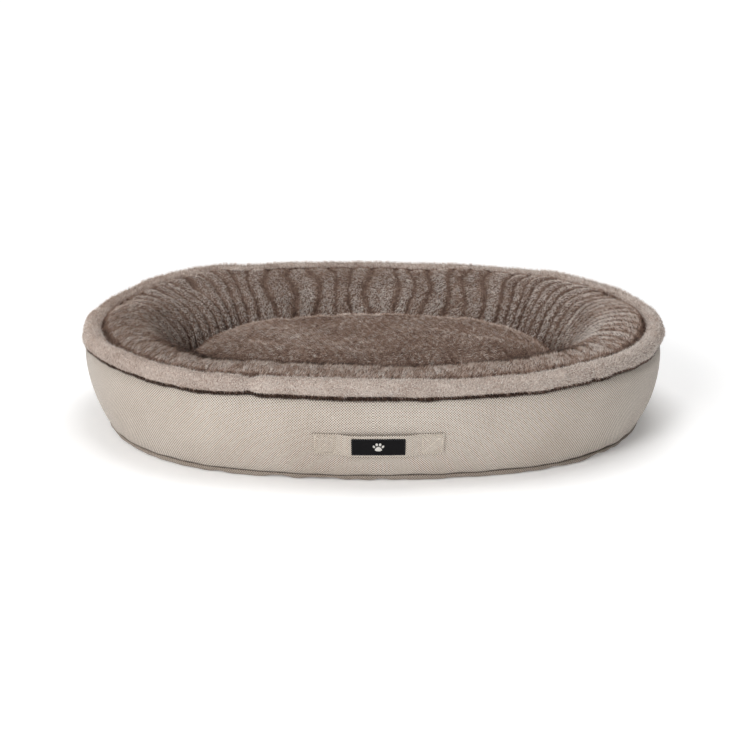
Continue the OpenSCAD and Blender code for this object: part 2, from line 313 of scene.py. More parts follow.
class Graph:
    """The node tree of one material, with short calls that add and join its nodes."""

    def __init__(self, name: str) -> None:
        """Starts a material with a Principled shader."""
        self.material = bpy.data.materials.new(name)
        self.material.use_nodes = True
        self.tree = self.material.node_tree
        self.shader = self.tree.nodes["Principled BSDF"]

    def node(self, kind: str, **facts: object) -> bpy.types.Node:
        """Adds a node and sets its properties."""
        new = self.tree.nodes.new("ShaderNode" + kind)
        for key, value in facts.items():
            setattr(new, key, value)
        return new

    def feed(self, target: Socket, value: Socket | float | tuple) -> None:
        """Joins a socket to an input, or sets the input's value."""
        if isinstance(value, bpy.types.NodeSocket):
            self.tree.links.new(value, target)
        else:
            target.default_value = value

    def math(self, operation: str, a: Socket | float, b: Socket | float = 0.0) -> Socket:
        """A Math node's result."""
        new = self.node("Math", operation=operation)
        self.feed(new.inputs[0], a)
        self.feed(new.inputs[1], b)
        return new.outputs[0]

    def places(self) -> Socket:
        """Object coordinates, in metres."""
        return self.node("TexCoord").outputs["Object"]

    def cloth_uv(self) -> tuple[Socket, Socket]:
        """The cloth's own texture places, along and across, in metres."""
        split = self.node("SeparateXYZ")
        self.feed(split.inputs[0], self.node("UVMap", uv_map="cloth").outputs["UV"])
        return split.outputs[0], split.outputs[1]

    def noise(self, scale: float, detail: float = 3.0, stretch: tuple | None = None) -> Socket:
        """Noise from about 0 to 1, with scale waves to the metre, finer along the axes of stretch."""
        where = self.places()
        if stretch:
            mapping = self.node("Mapping")
            mapping.inputs["Scale"].default_value = stretch
            self.feed(mapping.inputs["Vector"], where)
            where = mapping.outputs[0]
        new = self.node("TexNoise")
        self.feed(new.inputs["Vector"], where)
        new.inputs["Scale"].default_value = scale
        new.inputs["Detail"].default_value = detail
        return new.outputs["Fac"]

    def ramp(self, factor: Socket, stops: list[tuple[float, tuple]]) -> Socket:
        """A colour ramp through stops of (place, colour)."""
        new = self.node("ValToRGB")
        bar = new.color_ramp.elements
        while len(bar) < len(stops):
            bar.new(0.5)
        for element, (place, colour) in zip(bar, stops):
            element.position = place
            element.color = colour
        self.feed(new.inputs[0], factor)
        return new.outputs[0]

    def mix(self, factor: Socket | float, a: Socket | tuple, b: Socket | tuple, kind: str = "MIX") -> Socket:
        """Mixes two colours."""
        new = self.node("Mix", data_type="RGBA", blend_type=kind)
        self.feed(new.inputs["Factor"], factor)
        self.feed(new.inputs["A"], a)
        self.feed(new.inputs["B"], b)
        return new.outputs["Result"]

    def bump(self, height: Socket, strength: float, depth: float) -> None:
        """Joins a height, times depth in metres, to the shader's normal."""
        new = self.node("Bump")
        new.inputs["Strength"].default_value = strength
        new.inputs["Distance"].default_value = depth
        self.feed(new.inputs["Height"], height)
        self.feed(self.shader.inputs["Normal"], new.outputs[0])

    def set(self, **values: object) -> None:
        """Sets the shader's own sockets: underscores in a name stand for spaces."""
        for key, value in values.items():
            self.shader.inputs[key.replace("_", " ")].default_value = value


@dataclass(frozen=True)
class Weave:
    """Basket-woven polyester: pale yarns that cross in small squares, with painted shade in the gaps between
    them and a painted highlight on their crowns.
    """

    name: str
    yarn: tuple
    gap: tuple
    pitch: float = 3.9 * MM
    relief: float = 0.5 * MM

    def material(self) -> bpy.types.Material:
        """The woven cloth. The weave is sin(along) * sin(across), with painted shade where it is low and a
        painted highlight where it is high.
        """
        g = Graph(self.name)
        u, v = g.cloth_uv()
        turn = 2 * math.pi / self.pitch
        wobble = g.math("MULTIPLY", g.noise(60, 2), 0.9)
        a = g.math("SINE", g.math("ADD", g.math("MULTIPLY", u, turn), wobble))
        b = g.math("SINE", g.math("ADD", g.math("MULTIPLY", v, turn), wobble))
        weave = g.math("MULTIPLY", a, b)
        level = g.math("MULTIPLY_ADD", weave, 0.5)
        level.node.inputs[2].default_value = 0.5
        # Painted highlight: the yarns' crowns are drawn 16 per cent brighter than the yarn. The gap colour is
        # painted shade between the yarns.
        yarn_highlight = tuple(min(1.0, 1.16 * part) for part in self.yarn)
        cloth = g.ramp(level, [(0.14, self.gap), (0.5, self.yarn), (0.92, yarn_highlight)])
        slub = g.ramp(g.noise(420, 3, stretch=(1, 1, 2.5)),
                      [(0.3, linear(226, 222, 217)), (0.7, linear(255, 255, 255))])
        cloud = g.ramp(g.noise(7, 3), [(0.3, linear(236, 231, 226)), (0.7, linear(255, 254, 252))])
        colour = g.mix(1.0, g.mix(1.0, cloth, slub, "MULTIPLY"), cloud, "MULTIPLY")
        g.feed(g.shader.inputs["Base Color"], colour)
        rough = g.math("MULTIPLY_ADD", g.noise(300, 2), 0.2)
        rough.node.inputs[2].default_value = 0.7
        g.feed(g.shader.inputs["Roughness"], rough)
        g.set(Sheen_Weight=0.15, Sheen_Roughness=0.5, Specular_IOR_Level=0.25)
        g.bump(g.math("ADD", level, g.math("MULTIPLY", g.noise(900, 2), 0.4)), 0.7, self.relief)
        return g.material


@dataclass(frozen=True)
class FurSkin:
    """The matted root of the pile on its backing: short dark streaks with paler clouds."""

    name: str
    dark: tuple
    mid: tuple
    pale: tuple

    def material(self) -> bpy.types.Material:
        """The skin, with noise drawn out into streaks for the lie of the pile."""
        g = Graph(self.name)
        streak = g.noise(330, 4, stretch=(1.6, 0.55, 0.8))
        cloud = g.noise(24, 4)
        level = g.math("MULTIPLY_ADD", streak, 0.65)
        g.feed(level.node.inputs[2], g.math("MULTIPLY", cloud, 0.35))
        colour = g.ramp(level, [(0.30, self.dark), (0.50, self.mid), (0.68, self.pale)])
        g.feed(g.shader.inputs["Base Color"], colour)
        rough = g.math("MULTIPLY_ADD", streak, 0.25)
        rough.node.inputs[2].default_value = 0.62
        g.feed(g.shader.inputs["Roughness"], rough)
        g.set(Sheen_Weight=0.15, Sheen_Roughness=0.4, Specular_IOR_Level=0.2, Sheen_Tint=linear(250, 226, 208))
        g.bump(streak, 0.8, 1.2 * MM)
        return g.material


@dataclass(frozen=True)
class PileShade:
    """One shade of the pile's strands."""

    name: str
    colour: tuple

    def material(self) -> bpy.types.Material:
        """Strands with a soft sheen, whose gloss wanders from lock to lock."""
        g = Graph(self.name)
        g.set(Base_Color=self.colour, Sheen_Weight=0.12, Sheen_Roughness=0.35, Specular_IOR_Level=0.12)
        g.set(Sheen_Tint=linear(250, 226, 208))
        rough = g.math("MULTIPLY_ADD", g.noise(140, 3), 0.3)
        rough.node.inputs[2].default_value = 0.45
        g.feed(g.shader.inputs["Roughness"], rough)
        g.bump(g.noise(1500, 2, stretch=(1, 1, 0.3)), 0.3, 0.2 * MM)
        return g.material


@dataclass(frozen=True)
class Fibre:
    """Loose white polyester fibre or wadding."""

    name: str = "fibre_fill"

    def material(self) -> bpy.types.Material:
        """Tangled fibre: fine noise over soft clumps."""
        g = Graph(self.name)
        fine = g.noise(520, 6, stretch=(1, 1.7, 0.7))
        clump = g.noise(60, 3)
        level = g.math("MULTIPLY_ADD", fine, 0.6)
        g.feed(level.node.inputs[2], g.math("MULTIPLY", clump, 0.4))
        colour = g.ramp(level, [(0.3, linear(206, 203, 196)), (0.7, linear(246, 244, 239))])
        g.feed(g.shader.inputs["Base Color"], colour)
        g.set(Roughness=0.95, Sheen_Weight=0.4, Sheen_Roughness=0.6, Specular_IOR_Level=0.1)
        g.bump(level, 0.9, 2.5 * MM)
        return g.material


@dataclass(frozen=True)
class Satin:
    """A fine, close weave or a satin-stitched yarn, with ribs a set distance apart."""

    name: str
    face: tuple
    groove: tuple
    pitch: float
    gloss: float = 0.45
    shine: float = 0.35

    def material(self) -> bpy.types.Material:
        """The ribs are a sine across object X and Z, with noise along them."""
        g = Graph(self.name)
        split = g.node("SeparateXYZ")
        g.feed(split.inputs[0], g.places())
        turn = 2 * math.pi / self.pitch
        across = g.math("SINE", g.math("MULTIPLY", split.outputs[0], turn))
        up = g.math("SINE", g.math("MULTIPLY", split.outputs[2], turn))
        rib = g.math("MULTIPLY_ADD", g.math("ADD", across, up), 0.25)
        rib.node.inputs[2].default_value = 0.5
        level = g.math("ADD", g.math("MULTIPLY", rib, 0.7), g.math("MULTIPLY", g.noise(700, 3), 0.3))
        g.feed(g.shader.inputs["Base Color"], g.ramp(level, [(0.25, self.groove), (0.6, self.face)]))
        rough = g.math("MULTIPLY_ADD", g.noise(500, 2), 0.25)
        rough.node.inputs[2].default_value = self.gloss
        g.feed(g.shader.inputs["Roughness"], rough)
        g.set(Specular_IOR_Level=self.shine)
        g.bump(level, 0.6, 0.15 * MM)
        return g.material


class Tone(Enum):
    """The pile's shades, from the darkest, used for painted shadow, through the root to the palest guard hair.
    """

    # Painted shadow: the darkest brown, for strands under the rim roll, in pleat creases and in the gaps
    # between the parts.
    SEAM = linear(48, 32, 24)
    ROOT = linear(96, 72, 60)
    UMBER = linear(132, 105, 91)
    TAUPE = linear(164, 138, 123)
    FAWN = linear(190, 168, 154)
    ROSE = linear(212, 197, 187)
    PEARL = linear(227, 216, 208)
    FROST = linear(238, 228, 220)


class Finishes:
    """Every material of the bed, made once."""

    def __init__(self) -> None:
        """Makes the materials."""
        self.wall = Weave("woven_wall", linear(222, 214, 206), linear(80, 69, 60)).material()
        # The base is the same fabric as the wall. Its darker yarn and gap colours are painted shade on the
        # strip that sits under the wall's bulge.
        self.base = Weave("woven_base", linear(182, 172, 163), linear(92, 80, 72)).material()
        self.strap = Weave("woven_strap", linear(222, 214, 205), linear(84, 73, 64), 3.4 * MM).material()
        self.lining = Weave(
            "plain_lining", linear(206, 198, 186), linear(150, 140, 127), 1.6 * MM, 0.2 * MM).material()
        self.brown_skin = FurSkin(
            "brown_fur_skin", linear(60, 43, 36), linear(102, 82, 71), linear(136, 116, 104)).material()
        self.pale_skin = FurSkin(
            "pale_fur_skin", linear(118, 98, 87), linear(172, 156, 146), linear(206, 194, 184)).material()
        self.fibre = Fibre().material()
        self.thread = Satin("stitch_thread", linear(232, 222, 208), linear(176, 162, 144), 0.5 * MM).material()
        self.label = Satin("label_cloth", linear(17, 16, 18), linear(7, 6, 8), 0.55 * MM, 0.6, 0.12).material()
        self.label_thread = Satin("label_thread", linear(58, 57, 60), linear(24, 23, 26), 0.5 * MM).material()
        self.emblem = Satin("emblem_yarn", linear(226, 223, 217), linear(158, 154, 148), 0.5 * MM).material()
        self.pile = [PileShade("pile_" + tone.name.lower(), tone.value).material() for tone in Tone]


def dress(obj: bpy.types.Object, body: str, slot: str, materials: list, *nodes: str) -> bpy.types.Object:
    """Gives a piece its materials and its body, and hides the CAD nodes it stands for.

    Args:
        obj: the piece.
        body: the CAD body it moves with.
        slot: the record's material slot; not used.
        materials: the piece's materials in slot order.
        nodes: CAD nodes that it replaces.

    Returns:
        The piece.
    """
    for material in materials:
        obj.data.materials.append(material)
    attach(obj, body)
    if nodes:
        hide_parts(*nodes)
    log.info("%s: %d faces on %s", obj.name, len(obj.data.polygons), body)
    return obj


@dataclass(frozen=True)
class Pile:
    """Short fur: thin closed spikes that lean along the lie of the pile."""

    length: float
    width: float = 1.1 * MM
    lean: float = 58.0
    scatter: float = 0.35
    fleck: float = 0.17
    fleck_size: float = 5 * MM
    most_per_piece: int = 48000

    def grow(self, name: str, face: "Face", count: int, seed: int, body: str, slot: str, shades: list) -> None:
        """Grows count spikes over a face, in pieces of equal size.

        A spike's root is a random place of a random cell, drawn by the cell's area times its
        cover. It leaves along cos(lean) * normal + sin(lean) * lie, bent into locks by slow waves,
        and its shade is its tone with flecks a few millimetres across.

        Args:
            name: the pieces' name, which gets a number.
            face: the grid that the pile grows on.
            count: how many spikes in all.
            seed: of the random draws.
            body: the CAD body the pieces move with.
            slot: the record's material slot.
            shades: the materials, from dark to pale.
        """
        rng = np.random.default_rng(seed)
        p = face.points
        du, dv = p[1:, :-1] - p[:-1, :-1], p[:-1, 1:] - p[:-1, :-1]
        area = np.linalg.norm(np.cross(du, dv), axis=-1) * face.cover[:-1, :-1]
        share = np.cumsum(area.ravel())
        cell = np.sort(np.searchsorted(share, rng.uniform(0, share[-1], count)))
        i, j = np.divmod(cell, area.shape[1])
        a, b = rng.uniform(size=(2, count, 1))

        def at(grid: Array) -> Array:
            """The grid's value at each root, from the cell's four corners."""
            corners = (grid[i, j], grid[i + 1, j], grid[i, j + 1], grid[i + 1, j + 1])
            if grid.ndim == 2:
                corners = [c[:, None] for c in corners]
            low = corners[0] * (1 - a) + corners[1] * a
            high = corners[2] * (1 - a) + corners[3] * a
            return low * (1 - b) + high * b

        root, normal, lie = at(p), at(face.normals), at(face.lie)
        normal /= np.linalg.norm(normal, axis=1)[:, None]
        locks = [Ripple(seed + k, 14 * MM)(root) for k in (1, 2, 3)]
        lie = lie + rng.normal(size=lie.shape) * self.scatter + np.stack(locks, -1) * 0.3
        lie -= normal * np.einsum("ij,ij->i", lie, normal)[:, None]
        lie /= np.maximum(np.linalg.norm(lie, axis=1), 1e-9)[:, None]
        lean = np.radians(np.clip(self.lean + rng.normal(size=(count, 1)) * 11, 15, 80))
        way = normal * np.cos(lean) + lie * np.sin(lean)
        side = np.cross(way, normal)
        side /= np.maximum(np.linalg.norm(side, axis=1), 1e-9)[:, None]
        lift = np.cross(side, way)
        long = self.length * at(face.long) * rng.uniform(0.7, 1.2, (count, 1))
        wide = self.width * rng.uniform(0.75, 1.25, (count, 1))
        foot = root - normal * 0.6 * MM
        corners = np.stack([
            foot - side * wide / 2,
            foot + side * wide / 2,
            foot - lift * wide * 0.35,
            foot + way * long,
        ], axis=1)
        tone = at(face.tone)[:, 0] + rng.normal(size=count) * 0.07
        tone += self.fleck * Ripple(seed + 4, self.fleck_size, 30)(at(face.grain))
        shade = np.clip((tone * len(shades)).astype(int), 0, len(shades) - 1)
        pieces = math.ceil(count / self.most_per_piece)
        for k, part in enumerate(np.array_split(np.arange(count), pieces)):
            first = 4 * np.arange(len(part))[:, None, None]
            faces = (first + np.array([[0, 1, 3], [1, 2, 3], [2, 0, 3], [0, 2, 1]])).reshape(-1, 3)
            obj = raw_mesh(f"{name}_{k + 1}", corners[part].reshape(-1, 3), faces)
            obj.data.polygons.foreach_set("material_index", np.repeat(shade[part], 4).astype(np.int32))
            dress(obj, body, slot, shades)


@dataclass
class Face:
    """A grid that pile grows on: places, normals, the lie, the tone, the length, the cover, the grain."""

    points: Array
    normals: Array
    lie: Array
    tone: Array
    long: Array
    cover: Array
    grain: Array

    @staticmethod
    def of(points: Array, tone: Array, lie: Array, long: Array, cover: Array, inside: Array,
           grain: Array) -> "Face":
        """Works out the normals of a grid, away from the point inside.

        Args:
            points: (nu + 1, nv, 3) places, closed along u.
            tone, long, cover: (nu + 1, nv) values.
            lie: (nu + 1, nv, 3) direction the pile leans in.
            inside: (nu + 1, nv, 3) or (3,) places behind the face.
            grain: (nu + 1, nv, 3) places in which the flecks are drawn, squeezed along the lie.

        Returns:
            The face.
        """
        du = np.gradient(points, axis=0)
        du[0] = du[-1] = (points[1] - points[-2]) / 2
        normal = np.cross(du, np.gradient(points, axis=1))
        normal /= np.maximum(np.linalg.norm(normal, axis=-1), 1e-12)[..., None]
        wrong = np.einsum("...i,...i->...", normal, points - inside) < 0
        normal[wrong] *= -1
        return Face(points, normal, lie, tone, long, cover, grain)


@dataclass(frozen=True)
class Folds:
    """The bolster cover's pleats: how far apart and how deep they are round the oval."""

    # Angle of the outward normal in degrees, the pleats' spacing and their depth there
    stations: tuple = (
        (-90, 70 * MM, 0.8 * MM), (-62, 40 * MM, 1.8 * MM), (-36, 18 * MM, 6.5 * MM), (-16, 20 * MM, 5.5 * MM),
        (8, 19 * MM, 5.5 * MM), (30, 18 * MM, 6.5 * MM), (56, 20 * MM, 8.0 * MM), (74, 32 * MM, 5.5 * MM),
        (100, 36 * MM, 5.5 * MM), (116, 22 * MM, 8.5 * MM), (150, 23 * MM, 8.5 * MM), (170, 26 * MM, 5.0 * MM),
        (200, 30 * MM, 2.4 * MM), (230, 40 * MM, 1.8 * MM), (270, 70 * MM, 0.8 * MM),
    )

    def phase(self, psi: Array, run: Array, place: Array) -> Array:
        """A count of pleats from the front round to angle psi: the sum of run over spacing, made whole
        over the full turn, bent by slow waves so that no two pleats are alike."""
        table = np.array(self.stations)
        spacing = np.interp(np.degrees(psi), table[:, 0], table[:, 1])
        steps = np.diff(run) / ((spacing[1:] + spacing[:-1]) / 2)
        count = np.concatenate([[0], np.cumsum(steps)])
        count *= round(count[-1]) / count[-1]
        upright = place * (1, 1, 0.35)
        return count[:, None] + 0.26 * Ripple(5, 110 * MM)(upright) + 0.05 * Ripple(6, 50 * MM)(place)

    def depth(self, psi: Array) -> Array:
        """How deep the pleats are at angle psi."""
        table = np.array(self.stations)
        return np.interp(np.degrees(psi), table[:, 0], table[:, 2])


@dataclass
class Nest:
    """The stuffed oval nest: base, woven wall, rim roll and pleated bolster."""

    oval: Oval
    finishes: Finishes
    roll_r: float = 13.5 * MM
    crest_s: float = 65 * MM
    bolster_w: float = 160 * MM
    inner_turn_z: float = 80 * MM
    batter: float = 36 * MM
    tuck: float = 5 * MM
    tuck_h: float = 17 * MM
    woven_t: float = 1.8 * MM
    fur_t: float = 2.4 * MM
    pile_at: float = 100 * MM
    mean_r: float = 0.35

    def __post_init__(self) -> None:
        """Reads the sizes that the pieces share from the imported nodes."""
        wall_lo, wall_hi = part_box("side_wall")
        self.roll_s = self.roll_r
        self.roll_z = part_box("rim_roll_cover")[1][2] - self.roll_r
        self.wall_top = wall_hi[2]
        self.seam_z = wall_lo[2]
        self.crest_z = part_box("bolster_cover")[1][2]
        self.deck_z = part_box("deck_panel")[1][2]
        self.bulge_z = self.wall_top - self.tuck_h
        self.wall_inset = self.oval.half_l - wall_hi[0]

    def ring(self, psi: Array) -> Array:
        """Places on a plain circle, at which the slow waves round the oval are read."""
        return np.stack([np.cos(psi), np.sin(psi), 0 * psi], axis=-1) * self.mean_r

    @staticmethod
    def with_pole(grid: Array) -> Array:
        """A grid with one more column, its last one laid flat on the line along the middle."""
        pole = grid[:, -1:].copy()
        pole[..., 1] = 0
        return np.concatenate([grid, pole], 1)

    def sway(self, psi: Array) -> Array:
        """How far the rim rises and falls round the oval: slow waves, highest at the rear left."""
        ring = self.ring(psi)
        corner = np.exp(-((np.degrees(psi) - 122) / 20) ** 2)
        rear = smooth(0.2, 0.9, np.sin(psi))
        waves = 1.3 * MM * Ripple(11, 0.30)(ring) + 0.6 * MM * Ripple(12, 0.09)(ring)
        return waves + 8 * MM * corner + 2 * MM * rear

    def wall_s(self, z: Array) -> Array:
        """Inset of the wall at height z: a parabola out to the bulge, and tucked in above it."""
        below = self.batter * np.clip((self.bulge_z - z) / self.bulge_z, 0, None) ** 2
        above = self.tuck * np.clip((z - self.bulge_z) / (self.wall_top - self.bulge_z), 0, None) ** 2
        return self.wall_inset + below + above

    def wall_dents(self, psi: Array, z: Array) -> Array:
        """How far the wall is pushed in: broad soft dents and small tucks above the lower seam."""
        flat = self.oval.place(psi, 0 * psi, z)
        broad = 1.1 * MM * Ripple(21, 0.22)(flat) * smooth(0.0, 0.05, z - self.seam_z)
        tucks = Ripple(22, 0.05, squash=(1, 1, 0.3))(flat) * 1.3 * MM * np.exp(-(z - self.seam_z) / (14 * MM))
        x, front = flat[..., 0], flat[..., 1] < 0
        calm = 1 - front * smooth(0.14, 0.10, np.abs(x)) * smooth(0.035, 0.05, z) * smooth(0.105, 0.09, z)
        return (broad + tucks) * calm

    def side_wall(self, nu: int = 720) -> None:
        """The woven band: a closed shell with its lower edge drawn in at the seam."""
        psi = self.oval.angles(nu, 0.0)
        share = np.linspace(0, 1, 44)
        z = self.seam_z + (self.wall_top - self.seam_z) * share
        z = z[None, :] + self.sway(psi)[:, None] * share[None, :] ** 2
        hem = 3.2 * MM * np.exp(-(z - self.seam_z) / (2.2 * MM))
        s = self.wall_s(z) + hem + self.wall_dents(psi[:, None], z)
        back = s[:, ::-6] + self.woven_t
        s_all, z_all = np.concatenate([s, back], 1), np.concatenate([z, z[:, ::-6]], 1)
        points = self.oval.place(psi[:, None], s_all, z_all)
        run = np.broadcast_to(self.oval.run(psi, 0.0)[:, None], s_all.shape)
        climb = np.broadcast_to(np.concatenate([z[0], z[0, ::-6]]), s_all.shape)
        uv = np.stack([run, climb], axis=-1)
        uv = np.concatenate([uv, uv[:, :1]], axis=1)
        obj = grid_mesh("woven_side_wall", points[:-1], uv)
        dress(obj, "nest", "woven_wall", [self.finishes.wall], "side_wall")

    def base_panel(self, nu: int = 600) -> None:
        """The woven underside: its edge is gathered up to the wall's seam in uneven puckers."""
        psi = self.oval.angles(nu, 0.0)
        ring = self.oval.place(psi, 0 * psi, 0 * psi)
        pucker = Ripple(31, 0.11)(ring) * 0.6 + Ripple(32, 0.045)(ring) * 0.4
        lift = (2.6 * MM * smooth(-0.2, 1.3, pucker))[:, None]
        edge = float(self.wall_s(np.array(self.seam_z)))
        rise = self.seam_z
        outer = even_path([(edge + 3.4 * MM, rise), (edge + 1.2 * MM, rise - 1.2 * MM)]
                           + arc(edge + 9 * MM, rise - 2 * MM, -8.6 * MM, -(rise - 2 * MM), 0, 90, 12), 16)
        near = np.exp(-np.maximum(outer[:, 0] - edge, 0) / (22 * MM))[None, :]
        fade = smooth(0.0, 1.0, (rise - outer[:, 1]) / rise)[None, :]
        s_edge = outer[:, 0][None, :] + 2.2 * MM * pucker[:, None] * near * fade
        z_edge = outer[:, 1][None, :] + lift * fade
        plate = np.linspace(edge + 14 * MM, self.oval.end_r, 22)[None, :]
        z_plate = lift * np.exp(-(plate - edge - 12 * MM) / (16 * MM))
        s_out = np.concatenate([s_edge, np.broadcast_to(plate, z_plate.shape)], 1)
        z_out = np.concatenate([z_edge, z_plate], 1)
        z_out[:, -6:] = 0
        under = self.with_pole(self.oval.place(psi[:, None], s_out, z_out))
        inner_s = s_out + self.woven_t * (s_out < edge + 13 * MM)
        inner_z = np.maximum(z_out, 0) + 1.9 * MM * smooth(rise, rise - 3 * MM, z_out)
        inner = self.with_pole(self.oval.place(psi[:, None], inner_s, inner_z))
        points = np.concatenate([under, inner[:, ::-1]], 1)
        flat = points[..., :2]
        rim = np.broadcast_to(self.oval.run(psi, 0.0)[:, None], points.shape[:2])
        climb = points[..., 2]
        on_edge = np.zeros(points.shape[:2], bool)
        on_edge[:, :14] = True
        uv = np.where(on_edge[..., None], np.stack([rim, climb], -1), flat)
        uv = np.concatenate([uv, uv[:, :1]], axis=1)
        obj = grid_mesh("gathered_base_panel", points[:-1], uv, weld=True, skip=under.shape[1] - 1)
        dress(obj, "nest", "woven_base", [self.finishes.base], "base_panel")

    def roll_centre(self, psi: Array) -> tuple[Array, Array, Array]:
        """The rim roll's inset, height and radius round the oval, pinched where its ends are tucked."""
        ring = self.ring(psi)
        radius = self.roll_r * (1 + 0.05 * Ripple(41, 0.12)(ring) + 0.035 * Ripple(42, 0.035)(ring))
        for place, depth in ((-102.7, 0.30), (-54.0, 0.24), (107.0, 0.14), (22.0, 0.20), (172.0, 0.16)):
            off = np.abs(np.mod(np.degrees(psi) - place + 180, 360) - 180) * math.radians(1) * 0.4
            radius = radius * (1 - depth * np.exp(-((off / (5 * MM)) ** 2)))
        inset = self.roll_s + 0.8 * MM * Ripple(43, 0.10)(ring)
        return inset, self.roll_z + self.sway(psi), radius

    def rim_roll(self, nu: int = 960, nv: int = 24) -> None:
        """The stuffed fur roll, its wadding core, and its pile, drawn dark underneath and in a hanging fringe
        as painted shadow over the wall's top.
        """
        psi = self.oval.angles(nu, 0.0)
        inset, height, radius = (x[:, None] for x in self.roll_centre(psi))
        turn = np.linspace(0, 2 * math.pi, nv, endpoint=False)[None, :]
        run = self.oval.run(psi, 0.0)[:, None]
        for name, share, node, slot, material in (
            ("stuffed_rim_roll", 1.0, "rim_roll_cover", "pale_fur", self.finishes.pale_skin),
            ("rim_roll_wadding", 0.80, "rim_roll_core", "fibre_fill", self.finishes.fibre),
        ):
            points = self.oval.place(
                psi[:, None], inset + share * radius * np.cos(turn), height + share * radius * np.sin(turn))
            around = np.broadcast_to(np.linspace(0, 2 * math.pi, nv + 1) * self.roll_r, (nu + 1, nv + 1))
            uv = np.stack([np.broadcast_to(run, around.shape), around], -1)
            obj = grid_mesh(name, points[:-1], uv)
            dress(obj, "nest", slot, [material], node)
        turn = np.linspace(-130, 340 - 130, 30)[None, :] * math.pi / 180
        points = self.oval.place(psi[:, None], inset - radius * np.cos(turn), height + radius * np.sin(turn))
        centre = self.oval.place(psi[:, None], inset + 0 * turn, height + 0 * turn)
        degrees = np.degrees(turn) + 0 * psi[:, None]
        # under: the roll's underside, where the pile is drawn near black as painted shade and hangs down.
        under = smooth(-22, -50, degrees)
        rear = smooth(-0.2, 0.6, np.sin(psi))[:, None]
        # seam: the roll's inner side, where it presses against the bolster, drawn dark as painted shade in the
        # crease between them.
        seam = smooth(160, 190, degrees + 28 * rear)
        left = smooth(-0.35, -0.95, np.cos(psi))[:, None]
        tone = 0.90 + 0.04 * Ripple(44, 0.05)(points) - 0.10 * smooth(0.1, 1.2, Ripple(45, 0.16)(points))
        # Painted shade: darker under the roll and at its crease with the bolster. The left end is browner.
        tone = tone - 0.85 * under - 0.55 * seam - 0.12 * left
        along = np.gradient(points, axis=0)
        along /= np.linalg.norm(along, axis=-1)[..., None]
        down = np.array([0, 0, -1.0])
        lie = along * 0.8 + (points - centre) / radius[..., None] * 0.2 + down * (0.15 + 1.6 * under[..., None])
        grain = np.stack(np.broadcast_arrays(run * 0.5, turn * self.roll_r, 0.0), -1)
        face = Face.of(points, tone, lie, 1 + 0.35 * under, 1 + 0.5 * under, centre, grain)
        Pile(4.8 * MM, lean=60, scatter=0.45, width=1.1 * MM, fleck=0.06).grow(
            "rim_roll_pile", face, 68000, 47, "nest", "pale_fur", self.finishes.pile)
        # The fringe is made of dark strands that hang from under the roll over the wall's top: painted shadow
        # where roll and wall meet. hem marks where these strands grow; it is not a hem of the cover.
        thin = 1 - 0.35 * np.abs(np.cos(psi))[:, None] - 0.22 * smooth(-0.6, 1.2, Ripple(46, 0.05)(points))
        hem = smooth(-38, -50, degrees) * smooth(-82, -72, degrees) * thin**2 + 1e-4
        fringe = Face.of(points, 0.08 + 0 * tone, along * 0.3 + down, thin + 0 * tone, hem, centre, grain)
        Pile(6.5 * MM, lean=20, scatter=0.45, width=1.4 * MM, fleck=0.06).grow(
            "rim_shadow_fringe", fringe, 19000, 46, "nest", "pale_fur", self.finishes.pile)
        upper = (1 - under) * smooth(30, 60, degrees) * (0.35 + 0.65 * rear) + 1e-4
        guard = Face.of(points, tone - 0.08 - 0.10 * rear, along * 0.4 + np.array([0, 0, 0.8]),
                        0.8 + 0.25 * rear + 0 * tone, upper, centre, grain)
        Pile(8.0 * MM, lean=34, scatter=0.6, width=0.6 * MM).grow(
            "rim_roll_guard_hair", guard, 19000, 48, "nest", "pale_fur", self.finishes.pile)

    def bolster_path(self, count: int, push: float = 0.0) -> Array:
        """The cover's section: under the roll, up over the crest and down the inside to the deck.

        Args:
            count: how many points.
            push: how far the line is pushed into the bolster.

        Returns:
            (count, 2) points of (s, z).
        """
        tight = self.roll_r + 0.4 * MM + push
        start = self.crest_s - self.roll_s - tight
        top = self.crest_z - push
        line = arc(self.roll_s, self.roll_z, tight, tight, -70, -4)
        line += arc(self.crest_s, self.roll_z, start, top - self.roll_z, 176, 90)
        turn = self.inner_turn_z
        line += arc(self.crest_s, turn, self.bolster_w - self.crest_s - push, top - turn, 88, 0, 40)
        line += [(self.bolster_w - push, self.deck_z + 0.3 * MM)]
        return even_path(line, count)

    @staticmethod
    def end_share(psi: Array) -> Array:
        """How near a place is to either end of the oval: 1 at the tips, 0 on the long sides."""
        return smooth(0.72, 0.98, np.abs(np.cos(psi)))

